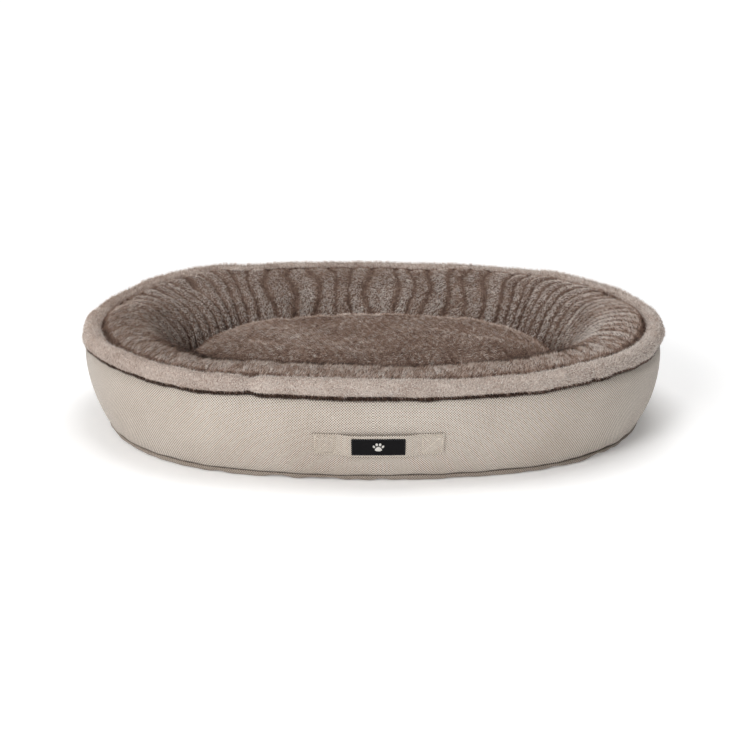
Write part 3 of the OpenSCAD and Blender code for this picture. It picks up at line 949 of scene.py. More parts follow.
    def bolster(self, nu: int = 1080, nv: int = 64) -> None:
        """The pleated fur cover, the fibre inside it, and the pile."""
        psi = self.oval.angles(nu, self.pile_at)
        run = self.oval.run(psi, self.pile_at)
        path = self.bolster_path(nv)
        normal = section_normals(path)
        s, z = path[:, 0][None, :], path[:, 1][None, :]
        flat = self.oval.place(psi[:, None], s + 0 * psi[:, None], z)
        folds = Folds()
        phase = folds.phase(psi, run, flat)
        ridge = np.floor(phase)
        size = 0.55 + 0.75 * chance(ridge, 3)
        start = smooth(self.roll_s + 6 * MM, self.crest_s + 12 * MM, s)
        corner = smooth(4.8 * MM, 7.2 * MM, folds.depth(psi))[:, None]
        reach = np.maximum(start, corner * smooth(self.roll_s + 8 * MM, self.roll_s + 26 * MM, s))
        fade = smooth(60 * MM, 85 * MM, z)
        pleat = folds.depth(psi)[:, None] * size * (np.abs(np.sin(math.pi * phase)) ** 0.5 - 0.72)
        lump = 2.2 * MM * Ripple(51, 0.16)(flat) * smooth(self.roll_s, self.crest_s, s) * fade
        rim = self.sway(psi)[:, None] * smooth(self.crest_s + 40 * MM, self.roll_s, s)
        front, end = smooth(-0.10, -0.70, np.sin(psi))[:, None], self.end_share(psi)
        tuck = 2 * MM * np.exp(-((s - self.roll_s - self.roll_r) / (6 * MM)) ** 2) * smooth(0.13, 0.15, z)
        rise = pleat * reach * fade + lump - tuck
        outward = normal * np.sign(np.mean(normal[nv // 3 : nv // 2, 1]))
        s_out = s + rise * outward[:, 0] - 12 * MM * end[:, None] * smooth(90 * MM, 140 * MM, s)
        z_out = z + rise * outward[:, 1] + rim
        rear = smooth(0.1, 0.6, np.sin(psi))[:, None]
        z_out = z_out - (6.5 * MM * front + 4.5 * MM * rear) * smooth(18 * MM, 50 * MM, s) * fade
        inner = self.bolster_path(nv, self.fur_t)[::-1]
        shift_s, shift_z = (s_out - s)[:, ::-1], (z_out - z)[:, ::-1]
        s_all = np.concatenate([s_out, inner[:, 0][None, :] + shift_s], 1)
        z_all = np.concatenate([z_out, inner[:, 1][None, :] + shift_z], 1)
        keep = np.r_[0:nv, nv:2 * nv:4]
        s_all, z_all = s_all[:, keep], z_all[:, keep]
        points = self.oval.place(psi[:, None], s_all, z_all)
        length = np.concatenate([[0], np.cumsum(np.linalg.norm(np.diff(path, axis=0), axis=1))])
        across = np.concatenate([length, length[::-1]])[keep]
        uv = np.stack([np.broadcast_to(run[:, None], s_all.shape), np.broadcast_to(across, s_all.shape)], -1)
        uv = np.concatenate([uv, uv[:, :1]], 1)
        obj = grid_mesh("pleated_bolster_cover", points[:-1], uv)
        dress(obj, "nest", "brown_fur", [self.finishes.brown_skin], "bolster_cover")
        self.bolster_stuffing()
        self.bolster_pile(psi, phase, corner, reach, s, z, self.oval.place(psi[:, None], s_out, z_out))

    def deck(self, nu: int = 240) -> None:
        """The lining laid over the base inside the bolster, with soft wrinkles."""
        psi = self.oval.angles(nu, 160 * MM)
        s = np.linspace(148 * MM, self.oval.end_r, 40)[None, :] + 0 * psi[:, None]
        top = self.with_pole(self.oval.place(psi[:, None], s, self.deck_z + 0 * s))
        low = top[:, ::-1] - np.array([0, 0, 1.5 * MM])
        wrinkle = 0.35 * MM * (np.abs(Ripple(65, 0.09)(top)) - 0.9)
        top[..., 2] += wrinkle
        points = np.concatenate([top, low], 1)
        uv = np.concatenate([points[..., :2], points[:, :1, :2]], 1)
        obj = grid_mesh("deck_lining", points[:-1], uv, weld=True, skip=top.shape[1] - 1)
        dress(obj, "nest", "lining", [self.finishes.lining], "deck_panel")

    def bolster_stuffing(self, nu: int = 240) -> None:
        """The fibre ring: a closed tube well inside the cover, the wall and the base."""
        psi = self.oval.angles(nu, self.pile_at)
        skin = 20 * MM
        top = self.bolster_path(40, skin)[9:-4]
        low = [(self.bolster_w - skin, 12 * MM), (self.wall_s(np.array(12 * MM)) + 18 * MM, 8 * MM)]
        wall = [(float(self.wall_s(np.array(h))) + 7 * MM, h) for h in np.linspace(20 * MM, 112 * MM, 12)]
        path = even_path([*map(tuple, top), *low, *wall, tuple(top[0])], 74)[:-1]
        flat = self.oval.place(psi[:, None], path[:, 0][None, :], path[:, 1][None, :])
        clump = 1.6 * MM * Ripple(61, 0.03)(flat)
        points = self.oval.place(psi[:, None], path[:, 0][None, :] + clump, path[:, 1][None, :])
        run = np.broadcast_to(self.oval.run(psi, self.pile_at)[:, None], (nu + 1, 74))
        uv = np.stack([run, np.broadcast_to(np.linspace(0, 0.5, 74), run.shape)], -1)
        obj = grid_mesh("bolster_stuffing", points[:-1], uv)
        dress(obj, "nest", "fibre_fill", [self.finishes.fibre], "bolster_fill")

    def bolster_pile(self, psi: Array, phase: Array, corner: Array, reach: Array,
                     s: Array, z: Array, points: Array) -> None:
        """Grows the bolster's pile: mottled, pale on the pleats' ridges, partly from the paler nap and partly
        from painted highlight, with painted shade in their creases, in the valley under the roll, low in the
        hollow and on the front's inner slope.

        Args:
            psi: (nu + 1,) angles round the oval.
            phase: (nu + 1, nv) count of pleats.
            corner: (nu + 1, 1) how strongly a place is pleated.
            reach: (nu + 1, nv) how fully the pleats are formed.
            s, z: (1, nv) the section.
            points: (nu + 1, nv, 3) the cover's outer face.
        """
        ridge, folds_depth = np.floor(phase), Folds().depth(psi)
        away = np.abs(np.sin(math.pi * phase))
        tone = 0.60 + 0.06 * Ripple(71, 0.035)(points) + 0.04 * Ripple(72, 0.016)(points)
        # Pale on the pleats' ridges: partly the paler nap and partly a painted highlight where the ridges catch
        # the light, strongest in the corners.
        pale = (0.35 + 0.65 * smooth(0.35, 0.75, chance(ridge, 9))) * smooth(0.5, 0.86, away)
        strength = smooth(0.6 * MM, 3.5 * MM, folds_depth)[:, None]
        tone = tone + pale * reach * (0.12 * strength + 0.50 * corner)
        # Painted shade in the pleats' creases.
        tone = tone - 0.52 * smooth(0.46, 0.16, away) * reach * (0.7 * strength + 0.3 * corner)
        tip = np.exp(-((np.degrees(psi) + 20) / 8) ** 2)[:, None]
        inside_crest = smooth(86 * MM, 98 * MM, s) * smooth(150 * MM, 136 * MM, s)
        tone = tone + 0.5 * tip * inside_crest * smooth(0.3, 0.7, away)
        rear = smooth(0.1, 0.6, np.sin(psi))[:, None]
        front = smooth(-0.3, -0.8, np.sin(psi))[:, None]
        # Painted shade in the valley where the bolster meets the roll, and darker towards the deck, down in the
        # hollow.
        valley = (s - self.roll_s - self.roll_r) / (1 + 1.6 * rear)
        tone = tone - 0.46 * smooth(11 * MM, 5 * MM, valley) - 0.2 * smooth(108 * MM, 84 * MM, z)
        # Painted shadow on the front bolster's inner slope, where it meets the cushion.
        tone = tone - 0.55 * front * smooth(73 * MM, 86 * MM, s)
        inside = self.oval.place(psi[:, None], 0 * s + 90 * MM, 0 * z + 90 * MM)
        down = np.gradient(points, axis=1)
        down /= np.maximum(np.linalg.norm(down, axis=-1), 1e-9)[..., None]
        along = np.gradient(points, axis=0)
        along /= np.maximum(np.linalg.norm(along, axis=-1), 1e-9)[..., None]
        lie = down * 0.75 + along * (0.5 - 0.42 * corner)[..., None]
        cover = (smooth(62 * MM, 96 * MM, z) * 0.95 + 0.05) * smooth(18 * MM, 30 * MM, z) + 0 * tone
        long = (1 - 0.5 * smooth(0.45, 0.1, away) * reach) * (1 - 0.25 * corner)
        run, climb = self.oval.run(psi, self.pile_at)[:, None], 0.45 * np.linspace(0, 0.26, s.shape[1])
        grain = np.stack(np.broadcast_arrays(run, climb, 0.0), -1)
        face = Face.of(points, tone, lie, long, cover, inside, grain)
        Pile(8.0 * MM, lean=68, width=1.15 * MM, scatter=0.28, fleck=0.13).grow(
            "bolster_pile", face, 138000, 77, "nest", "brown_fur", self.finishes.pile)


@dataclass
class Cushion:
    """The loose crowned cushion: a fur top, a woven underside and fibre inside."""

    oval: Oval
    finishes: Finishes
    crown: float = 18 * MM
    cloth: float = 2 * MM
    spare: float = 3 * MM

    def __post_init__(self) -> None:
        """Reads the cushion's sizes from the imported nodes."""
        top_lo, top_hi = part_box("cushion_top_cover")
        self.side_s = self.oval.half_l - top_hi[0]
        self.seam_z = top_lo[2]
        self.crown_z = top_hi[2]
        self.floor_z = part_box("cushion_base_cover")[0][2]
        self.edge_z = self.crown_z - self.crown

    def path(self, shrink: float, upper: bool, count: int) -> Array:
        """Half of the cushion's section, from its side seam to the end arcs' centres.

        Args:
            shrink: how much smaller than its space the half is, sideways.
            upper: the crowned half above the seam, or the flat one below it.
            count: how many points.

        Returns:
            (count, 2) points of (s, z).
        """
        side = self.side_s + shrink
        if upper:
            line = arc(side + 22 * MM, self.seam_z, -22 * MM, self.edge_z - self.seam_z - 4 * MM, 0, 80)
            share = np.linspace(0, 1, 24)[1:]
            start_s, start_z = line[-1]
            rise = self.crown_z - 3 * MM - start_z
            inward = start_s + (self.oval.end_r - start_s) * share
            line += list(zip(inward, start_z + rise * (1 - (1 - share) ** 2.2)))
        else:
            line = arc(side + 20 * MM, self.seam_z, -20 * MM, self.floor_z - self.seam_z, 0, 90)
            line += [(self.oval.end_r, self.floor_z)]
        return even_path(line, count)

    def half(self, psi: Array, path: Array) -> Array:
        """The grid of one half, closed to a line along the middle."""
        grid = self.oval.place(psi[:, None], path[:, 0][None, :] + 0 * psi[:, None], path[:, 1][None, :])
        return Nest.with_pole(grid)

    def inflate(self, shell: bpy.types.Object) -> tuple[KDTree, Array] | None:
        """Blows a copy of the shell up as cloth under pressure and reads how far each point moved.

        Args:
            shell: the closed cushion, smaller than its space.
        """
        remesh = shell.modifiers.new("even_quads", "REMESH")
        remesh.mode, remesh.voxel_size = "VOXEL", 6 * MM
        even = bpy.data.meshes.new_from_object(shell.evaluated_get(bpy.context.evaluated_depsgraph_get()))
        shell.modifiers.clear()
        balloon = bpy.data.objects.new("cushion_balloon", even)
        bpy.context.scene.collection.objects.link(balloon)
        before = np.empty(len(even.vertices) * 3, np.float32)
        even.vertices.foreach_get("co", before)
        cloth = balloon.modifiers.new("stuffed", "CLOTH")
        cloth.settings.quality = 4
        cloth.settings.mass = 0.3
        cloth.settings.use_pressure = True
        cloth.settings.uniform_pressure_force = 4
        cloth.settings.effector_weights.gravity = 0
        cloth.point_cache.frame_start, cloth.point_cache.frame_end = 1, 20
        for step in range(1, 21):
            bpy.context.scene.frame_set(step)
        blown = balloon.evaluated_get(bpy.context.evaluated_depsgraph_get()).to_mesh()
        after = np.empty(len(blown.vertices) * 3, np.float32)
        blown.vertices.foreach_get("co", after)
        before, after = before.reshape(-1, 3), after.reshape(-1, 3)
        bpy.data.objects.remove(balloon)
        bpy.context.scene.frame_set(1)
        move = after - before
        far = np.linalg.norm(move, axis=1)
        log.info("cushion blown up by %.1f mm at most, %.1f mm on average", far.max() / MM, far.mean() / MM)
        move *= np.minimum(1, 16 * MM / np.maximum(far, 1e-9))[:, None]
        tree = KDTree(len(before))
        for k, place in enumerate(before):
            tree.insert(place, k)
        tree.balance()
        return tree, move

    def follow(self, blown: tuple[KDTree, Array] | None, grid: Array) -> Array:
        """Moves a grid as the nearest points of the blown cloth moved, and keeps it in its space."""
        flat = grid.reshape(-1, 3).copy()
        if blown:
            tree, move = blown
            for k, place in enumerate(grid.reshape(-1, 3)):
                near = tree.find_n(place, 6)
                weight = np.array([1 / (n[2] + 2 * MM) for n in near])
                flat[k] += (move[[n[1] for n in near]] * (weight / weight.sum())[:, None]).sum(0)
        flat[:, 2] = np.clip(flat[:, 2], self.floor_z, self.crown_z + 7 * MM)
        return flat.reshape(grid.shape)

    def build(self, nu: int = 400) -> None:
        """Makes the blown cushion's two covers, its fibre and its pile."""
        psi = self.oval.angles(nu, self.side_s)
        upper, lower = self.path(self.spare, True, 46), self.path(self.spare, False, 34)
        top, low = self.half(psi, upper), self.half(psi, lower)
        whole = np.concatenate([top[:, ::-1], low[:, 1:]], 1)
        uv = np.zeros((nu + 1, whole.shape[1], 2))
        shell = grid_mesh("cushion_shell", whole[:-1], uv, wrap_v=False, weld=True)
        blown = self.inflate(shell)
        bpy.data.objects.remove(shell)
        top, low = self.follow(blown, top), self.follow(blown, low)
        reach = self.side_s - 0.5 * MM
        top, low = self.fill_ends(self.keep_in(top, reach)), self.fill_ends(self.keep_in(low, reach))
        for wave, height in ((Ripple(81, 0.12), 1.6 * MM), (Ripple(82, 0.04), 0.7 * MM)):
            top[..., 2] += height * wave(top) * smooth(self.seam_z, self.edge_z, top[..., 2])
        fur, lining = self.finishes.brown_skin, self.finishes.lining
        self.shell("cushion_fur_top", psi, upper, top, "cushion_fur", fur, "cushion_top_cover")
        self.shell("cushion_woven_underside", psi, lower, low, "lining", lining, "cushion_base_cover")
        middle = np.array([0, 0, self.seam_z])
        inner = np.concatenate([top[:, ::-1], low[:, 1:]], 1)
        far = np.maximum(np.linalg.norm(inner - middle, axis=-1), 60 * MM)
        inner = middle + (inner - middle) * (1 - 7 * MM / far)[..., None]
        inner[..., 2] = middle[2] + (inner[..., 2] - middle[2]) * 0.92
        fill = grid_mesh("cushion_stuffing", inner[:-1], inner[..., :2], wrap_v=False, weld=True)
        dress(fill, "cushion", "fibre_fill", [self.finishes.fibre], "cushion_fill")
        self.pile(top)

    @staticmethod
    def fill_ends(grid: Array) -> Array:
        """Stretches the cushion's two ends by a few per cent into the ends of the hollow."""
        grid[..., 0] *= 1 + 0.033 * smooth(0.14, 0.29, np.abs(grid[..., 0]))
        return grid

    def keep_in(self, grid: Array, reach: float) -> Array:
        """Pulls points that left the cushion's space sideways back to the oval at inset reach."""
        x, y = grid[..., 0], grid[..., 1]
        psi = self.oval.angles(720, reach)
        limit = self.oval.place(psi, 0 * psi + reach, 0 * psi)
        around = np.unwrap(np.arctan2(limit[:, 1], limit[:, 0]))
        far = np.hypot(limit[:, 0], limit[:, 1])
        angle = np.mod(np.arctan2(y, x) - around[0], 2 * math.pi) + around[0]
        most = np.interp(angle, around, far)
        share = np.minimum(1, most / np.maximum(np.hypot(x, y), 1e-9))
        out = grid.copy()
        out[..., 0] *= share
        out[..., 1] *= share
        return out

    def shell(self, name: str, psi: Array, path: Array, outer: Array, slot: str,
              material: bpy.types.Material, node: str) -> None:
        """Makes a cover of some thickness from its outer grid, closed round its edge.

        Its texture places are the cover laid out flat: each point lies as far from the end arcs'
        centres as its length along the section.

        Args:
            name: the piece's name.
            psi: (nu + 1,) angles round the oval.
            path: (nv - 1, 2) the section before it was blown up.
            outer: (nu + 1, nv, 3) grid, whose last column is the line along the middle.
            slot: the record's material slot.
            material: of the cloth.
            node: the CAD node it replaces.
        """
        middle = np.array([0, 0, self.seam_z])
        back = outer[:, ::-1].copy()
        far = np.maximum(np.linalg.norm((back - middle) * (1, 1, 4), axis=-1), 1e-9)
        gap = np.minimum(1, self.cloth / far * 2.0)
        back = back + (middle - back) * gap[..., None]
        points = np.concatenate([outer, back], 1)
        length = np.linalg.norm(np.diff(path, axis=0), axis=1).sum()
        flat_s = self.oval.end_r - length * np.linspace(1, 0, len(path))
        laid = self.oval.place(psi[:, None], flat_s[None, :] + 0 * psi[:, None], 0.0)[..., :2]
        laid = np.concatenate([laid, outer[:, -1:, :2]], 1)
        uv = np.concatenate([laid, laid[:, ::-1], laid[:, :1]], 1)
        obj = grid_mesh(name, points[:-1], uv, weld=True, skip=outer.shape[1] - 1)
        dress(obj, "cushion", slot, [material], node)

    def pile(self, grid: Array) -> None:
        """Grows the cushion's pile: mottled in patches a few centimetres across, with painted shade at the edge
        where it sinks against the bolster and a painted contact shadow along the front.
        """
        across = np.linspace(0, 1, grid.shape[1])[None, :]
        tone = 0.54 + 0.05 * Ripple(91, 0.06)(grid) + 0.04 * Ripple(92, 0.018)(grid)
        patch = smooth(0.7, 1.7, Ripple(93, 0.05)(grid) + 0.3 * Ripple(94, 0.02)(grid))
        # near: the front of the cushion, where a band of painted contact shadow runs along the front bolster.
        near = smooth(-20 * MM, -90 * MM, grid[..., 1])
        # Painted shade round the edge, and a darker band of painted shadow at the front edge.
        tone = tone + 0.14 * patch - 0.26 * smooth(0.34, 0.18, across) - 0.5 * near * smooth(0.42, 0.33, across)
        lie = np.zeros(grid.shape)
        lie[..., 0] = -0.75 + 0.3 * Ripple(95, 0.25)(grid)
        lie[..., 1] = -0.8 + 0.3 * Ripple(96, 0.25)(grid)
        cover = smooth(self.seam_z - 4 * MM, self.seam_z + 28 * MM, grid[..., 2]) * 0.9 + 0.05
        x, y = grid[..., 0], grid[..., 1]
        grain = np.stack([0.45 * (0.68 * x + 0.73 * y), 0.73 * x - 0.68 * y, grid[..., 2]], -1)
        face = Face.of(grid, tone, lie, 1 + 0 * tone, cover, np.array([0, 0, self.seam_z - 40 * MM]), grain)
        face.normals[:, -1] = (0, 0, 1)
        Pile(8.0 * MM, lean=66, scatter=0.3).grow(
            "cushion_pile", face, 66000, 97, "cushion", "cushion_fur", self.finishes.pile)


@dataclass
class Handle:
    """The doubled carry strap on the front, its stitching, and its woven label with a paw."""

    nest: Nest
    finishes: Finishes
    z: float = 66.5 * MM
    wide: float = 36 * MM
    thick: float = 2.5 * MM
    sewn: float = 34 * MM
    slack: float = 4.0 * MM
    label_w: float = 28 * MM
    label_t: float = 0.8 * MM
    stitch_edge: float = 3 * MM
    label_edge: float = 1.5 * MM

    def __post_init__(self) -> None:
        """Reads the strap's and the label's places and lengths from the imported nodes."""
        self.oval = self.nest.oval
        lo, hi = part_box("handle_strap")
        self.x = (lo[0] + hi[0]) / 2
        self.long = hi[0] - lo[0]
        label_lo, label_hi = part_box("handle_label")
        self.label_l = label_hi[0] - label_lo[0]

    def place(self, u: Array, h: Array, off: Array) -> Array:
        """A point u along the strap from its middle, h up the wall's slope, and off the wall's face:
        the wall's point at that height, moved out along the wall's normal."""
        low, high = self.z - self.wide / 2, self.z + self.wide / 2
        s_low, s_high = (float(self.nest.wall_s(np.array(v))) for v in (low, high))
        slope = math.atan2(s_low - s_high, high - low)
        z = self.z + h * math.cos(slope)
        s = self.nest.wall_s(z) - off * math.cos(slope)
        radius = self.oval.side_r - s_low
        psi = -math.pi / 2 + (self.x + u) / radius
        return self.oval.place(psi, s, z - off * math.sin(slope))

    def stand(self, u: Array) -> Array:
        """How far the strap stands off the wall: nothing where it is sewn, a soft step to the slack."""
        free = self.long / 2 - self.sewn
        return 0.25 * MM + self.slack * smooth(free, self.label_l / 2, np.abs(u))

    def slab(self, long: float, wide: float, thick: float, corner: float, nu: int,
             nv: int) -> tuple[Array, Array, Array]:
        """A flat piece of cloth with rounded edges as a closed grid of rings along its length.

        Args:
            long, wide, thick: its size.
            corner: radius of its corners in plan.
            nu: how many rings.
            nv: how many points a ring has.

        Returns:
            u, h and t of each point, as (nu + 4, nv) arrays.
        """
        u = np.concatenate([[-long / 2] * 2, np.linspace(-long / 2, long / 2, nu), [long / 2] * 2])
        inset = np.maximum(0, corner - (long / 2 - np.abs(u)))
        half = wide / 2 - (corner - np.sqrt(np.maximum(corner**2 - inset**2, 0)))
        turn = np.linspace(0, 2 * math.pi, nv, endpoint=False)
        c, n = np.cos(turn), np.sin(turn)
        across = np.sign(c) * np.abs(c) ** 0.32
        up = np.sign(n) * np.abs(n) ** 0.55
        shrink = np.ones(len(u))
        shrink[[0, -1]] = 0.0
        shrink[[1, -2]] = 0.72
        h = half[:, None] * across[None, :] * np.where(shrink > 0.8, 1, 0.985)[:, None]
        t = thick / 2 + thick / 2 * up[None, :] * shrink[:, None]
        return np.broadcast_to(u[:, None], h.shape), h, t

    def cloth_piece(self, name: str, u: Array, h: Array, off: Array, slot: str,
                    material: bpy.types.Material, node: str) -> None:
        """Closes a slab's grid at its ends and dresses it."""
        points = self.place(u, h, off)
        first, last = (end.mean(1, keepdims=True) + 0 * end for end in (points[:1], points[-1:]))
        points = np.concatenate([first, points, last], 0)
        flat_u = np.concatenate([u[:1], u, u[-1:]], 0)
        flat_h = np.concatenate([h[:1], h, h[-1:]], 0)
        grid = np.swapaxes(points, 0, 1)
        uv = np.stack([flat_u.T, flat_h.T], -1)
        uv = np.concatenate([uv, uv[:1]], 0)
        obj = grid_mesh(name, grid, uv, wrap_v=False, weld=True)
        dress(obj, "nest", slot, [material], node)

    def stitch_lines(self, side: int) -> list[tuple]:
        """The rows of stitches at one end: a square and its cross, as (u0, h0, u1, h1)."""
        edge = self.stitch_edge
        u0, u1 = side * (self.long / 2 - self.sewn + edge), side * (self.long / 2 - edge)
        h = self.wide / 2 - edge
        square = [(u0, -h, u1, -h), (u0, h, u1, h), (u0, -h, u0, h), (u1, -h, u1, h)]
        return [*square, (u0, -h, u1, h), (u0, h, u1, -h)]

    def strap(self) -> None:
        """The strap, dimpled where its stitches pull it in, with a fold line along each edge."""
        u, h, t = self.slab(self.long, self.wide, self.thick, 1.2 * MM, 240, 56)
        pull = np.zeros(u.shape)
        for side in (-1, 1):
            for a, b, c, d in self.stitch_lines(side):
                span = np.hypot(c - a, d - b)
                along = np.clip(((u - a) * (c - a) + (h - b) * (d - b)) / span**2, 0, 1)
                away = np.hypot(u - a - along * (c - a), h - b - along * (d - b))
                pull = np.maximum(pull, np.exp(-((away / (1.5 * MM)) ** 2)))
        fold = np.exp(-(((np.abs(h) - self.wide / 2 + 2.6 * MM) / (0.8 * MM)) ** 2)) * 0.35
        puff = 0.35 * MM * Ripple(101, 0.03)(np.stack([u, h, 0 * u], -1))
        outer = smooth(0.5 * self.thick, self.thick, t)
        off = self.stand(u) + t + outer * (puff - 0.8 * MM * pull - 0.5 * MM * fold)
        self.cloth_piece("carry_strap", u, h, off, "woven_strap", self.finishes.strap, "handle_strap")

    def stitches(self, name: str, lines: list[tuple], off: float, size: tuple, slot: str,
                 material: bpy.types.Material, node: str) -> None:
        """Rows of stitches as one piece: each is a short thread that dives into the cloth at both ends.

        Args:
            name: the piece's name.
            lines: rows as (u0, h0, u1, h1).
            off: how far the cloth's face is from the wall, added to where the strap stands.
            size: the thread's diameter and the pitch of the stitches.
            slot: the record's material slot.
            material: of the thread.
            node: the CAD node it replaces.
        """
        thread, pitch = size
        rings, sides = 9, 8
        parts = []
        turn = np.linspace(0, 2 * math.pi, sides, endpoint=False)
        for a, b, c, d in lines:
            span = math.hypot(c - a, d - b)
            count = max(1, round(span / pitch))
            way = ((c - a) / span, (d - b) / span)
            for k in range(count):
                share = np.linspace(-0.5, 0.5, rings)
                at = (k + 0.5) / count * span + share * pitch * 0.86
                r = thread / 2 * np.sqrt(np.maximum(1 - (2 * share) ** 4, 0.0))
                arch = thread * (0.42 - 1.3 * (2 * share) ** 4)
                u = a + at[:, None] * way[0] - r[:, None] * np.cos(turn) * way[1]
                h = b + at[:, None] * way[1] + r[:, None] * np.cos(turn) * way[0]
                t = off + arch[:, None] + r[:, None] * np.sin(turn)
                parts.append(self.place(u, h, t + self.stand(u)).reshape(-1, 3))
        obj = ring_mesh(name, parts, rings, sides, 1e-7)
        dress(obj, "nest", slot, [material], node)

    def label(self) -> None:
        """The woven label, slightly cushioned, with its thread and its paw mark."""
        u, h, t = self.slab(self.label_l, self.label_w, self.label_t, 0.8 * MM, 90, 48)
        edge = np.minimum(self.label_l / 2 - np.abs(u), self.label_w / 2 - np.abs(h))
        pull = 0.25 * MM * np.exp(-(((edge - self.label_edge) / (0.7 * MM)) ** 2))
        base = self.thick + 0.35 * MM
        off = self.stand(u) + base + t - pull * smooth(0.4 * MM, 0.8 * MM, t)
        self.cloth_piece("woven_label", u, h, off, "label_cloth", self.finishes.label, "handle_label")
        a, b = self.label_l / 2 - self.label_edge, self.label_w / 2 - self.label_edge
        rows = [(-a, -b, a, -b), (-a, b, a, b), (-a, -b, -a, b), (a, -b, a, b)]
        self.stitches("label_thread", rows, base + self.label_t - 0.1 * MM, (0.5 * MM, 3.2 * MM),
                      "label_thread", self.finishes.label_thread, "label_stitching")
        self.paw(base + self.label_t)

    def paw(self, off: float) -> None:
        """The paw mark: a palm and four toes, each a low dome of satin stitch.

        A pad is a disc of rings and spokes, its edge an ellipse with a lobed radius, and its
        height falls off as the fourth power of the distance from its middle.
        """
        rings, spokes = 12, 48
        r = np.linspace(0, 1, rings)[:, None]
        a = np.linspace(0, 2 * math.pi, spokes, endpoint=False)[None, :]
        parts = []
        palm = (0, -2.9, 4.9, 3.9, 0)
        toes = [(-6.3, 1.4, 1.7, 2.4, 24), (-2.4, 4.9, 1.8, 2.6, 8),
                (2.4, 4.9, 1.8, 2.6, -8), (6.3, 1.4, 1.7, 2.4, -24)]
        for u0, h0, half_w, half_h, tilt in (palm, *toes):
            lobe = 1 + (0.10 * np.cos(3 * (a - math.pi / 2)) if tilt == 0 else 0 * a)
            x, y = half_w * r * lobe * np.cos(a), half_h * r * lobe * np.sin(a)
            c, n = math.cos(math.radians(tilt)), math.sin(math.radians(tilt))
            u, h = (u0 + x * c - y * n) * MM, (h0 + x * n + y * c) * MM
            dome = off - 0.05 * MM + 0.4 * MM * (1 - r**4) + 0 * a
            top = self.place(u, h, dome + self.stand(u))
            back = self.place(u, h, off - 0.25 * MM + 0 * dome + self.stand(u))
            pad = np.concatenate([top, back[::-1]], 0)
            parts.append(pad.reshape(-1, 3))
        obj = ring_mesh("paw_mark", parts, 2 * rings, spokes, 1e-6)
        dress(obj, "nest", "emblem_yarn", [self.finishes.emblem], "label_emblem")

    def build(self) -> None:
        """Makes the strap, its stitching and the label."""
        self.strap()
        for side, word in ((-1, "left"), (1, "right")):
            self.stitches(f"strap_thread_{word}", self.stitch_lines(side), self.thick - 0.75 * MM,
                          (0.9 * MM, 4.4 * MM), "thread", self.finishes.thread, f"handle_stitching_{word}")
        self.label()


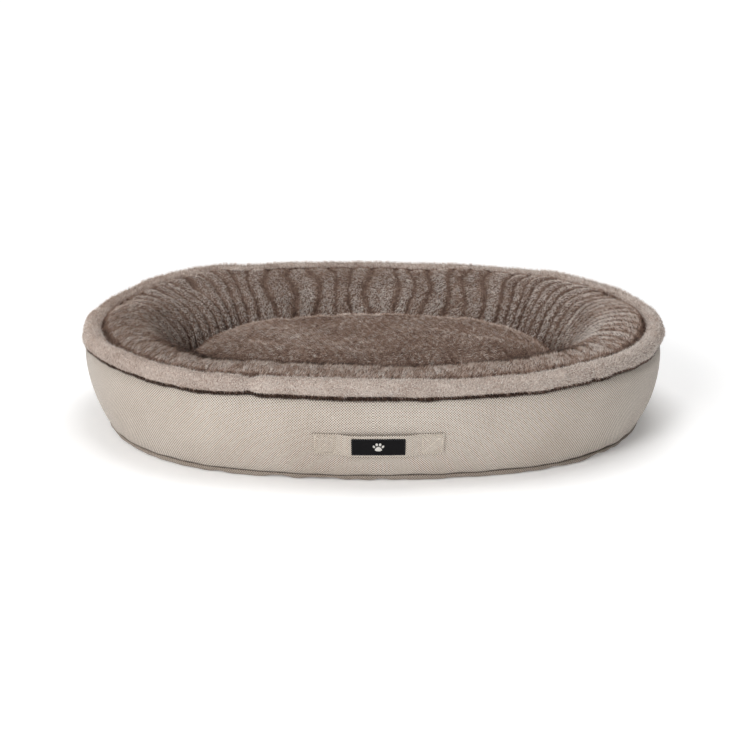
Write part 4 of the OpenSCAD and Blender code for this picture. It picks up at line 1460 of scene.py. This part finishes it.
@dataclass(frozen=True)
class Studio:
    """A pale floor that glows as painted light, soft lights and the camera."""

    distance: float = 3.0
    elevation: float = 19.0
    lens: float = 90.5
    shift: tuple = (-0.0047, 0.0577)

    def floor(self) -> None:
        """A wide white floor that glows as painted light: dim near the bed, brighter away from it."""
        half = 60.0
        corners = np.array([(-half, -half, 0), (half, -half, 0), (half, half, 0), (-half, half, 0)], float)
        floor = raw_mesh("studio_floor", corners - (0, 0, 0.2 * MM), np.array([[0, 1, 2, 3]]))
        g = Graph("studio_floor")
        g.set(Base_Color=linear(250, 250, 250), Roughness=0.9, Specular_IOR_Level=0.1)
        g.set(Emission_Color=(1, 1, 1, 1))
        # Painted light: the floor's glow rises with the distance from the middle, so it is white far off and
        # shows the bed's shadow near it.
        far = g.node("VectorMath", operation="LENGTH")
        g.feed(far.inputs[0], g.places())
        glow = g.node("MapRange", interpolation_type="SMOOTHSTEP")
        g.feed(glow.inputs["Value"], far.outputs["Value"])
        for socket, value in (("From Min", 0.5), ("From Max", 1.8), ("To Min", 0.18), ("To Max", 0.80)):
            glow.inputs[socket].default_value = value
        g.feed(g.shader.inputs["Emission Strength"], glow.outputs[0])
        floor.data.materials.append(g.material)

    def lamp(self, name: str, place: tuple, aim: tuple, size: float, power: float) -> None:
        """A square soft light at place, turned to aim."""
        data = bpy.data.lights.new(name, "AREA")
        data.size, data.energy = size, power
        lamp = bpy.data.objects.new(name, data)
        bpy.context.scene.collection.objects.link(lamp)
        way = np.array(aim, float) - np.array(place, float)
        lamp.location = place
        lamp.rotation_euler = Vector(way).to_track_quat("-Z", "Y").to_euler()

    def build(self) -> None:
        """Sets up floor, world, lights and camera."""
        scene = bpy.context.scene
        scene.view_settings.view_transform = "Standard"
        self.floor()
        world = bpy.data.worlds.new("studio_air")
        scene.world = world
        world.use_nodes = True
        tree = world.node_tree
        split = tree.nodes.new("ShaderNodeSeparateXYZ")
        shade = tree.nodes.new("ShaderNodeMapRange")
        tree.links.new(tree.nodes.new("ShaderNodeTexCoord").outputs["Generated"], split.inputs[0])
        tree.links.new(split.outputs[0], shade.inputs["Value"])
        shade.inputs["From Min"].default_value, shade.inputs["From Max"].default_value = -0.9, 0.9
        shade.inputs["To Min"].default_value, shade.inputs["To Max"].default_value = 0.50, 0.02
        tree.links.new(shade.outputs[0], tree.nodes["Background"].inputs["Strength"])
        tree.nodes["Background"].inputs["Color"].default_value = (1, 1, 1, 1)
        self.lamp("key_light", (-1.15, -2.45, 1.75), (-0.05, 0, 0.05), 1.1, 45)
        self.lamp("top_light", (0.2, 0.1, 2.7), (0, 0, 0), 1.6, 44)
        tilt = math.radians(self.elevation)
        data = bpy.data.cameras.new("studio_camera")
        data.lens, data.sensor_width = self.lens, 36.0
        data.shift_x, data.shift_y = self.shift
        camera = bpy.data.objects.new("studio_camera", data)
        scene.collection.objects.link(camera)
        camera.location = (0, -self.distance * math.cos(tilt), self.distance * math.sin(tilt))
        camera.rotation_euler = (math.pi / 2 - tilt, 0, 0)
        scene.camera = camera


def main() -> None:
    """Builds the studio and then the bed, piece by piece."""
    logging.basicConfig(level=logging.INFO, format="%(name)s %(message)s")
    Studio().build()
    finishes = Finishes()
    roll_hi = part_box("rim_roll_cover")[1]
    oval = Oval(roll_hi[0], roll_hi[1])
    nest = Nest(oval, finishes)
    nest.base_panel()
    nest.side_wall()
    nest.rim_roll()
    nest.bolster()
    nest.deck()
    Cushion(oval, finishes).build()
    Handle(nest, finishes).build()


if __name__ == "__main__":
    main()
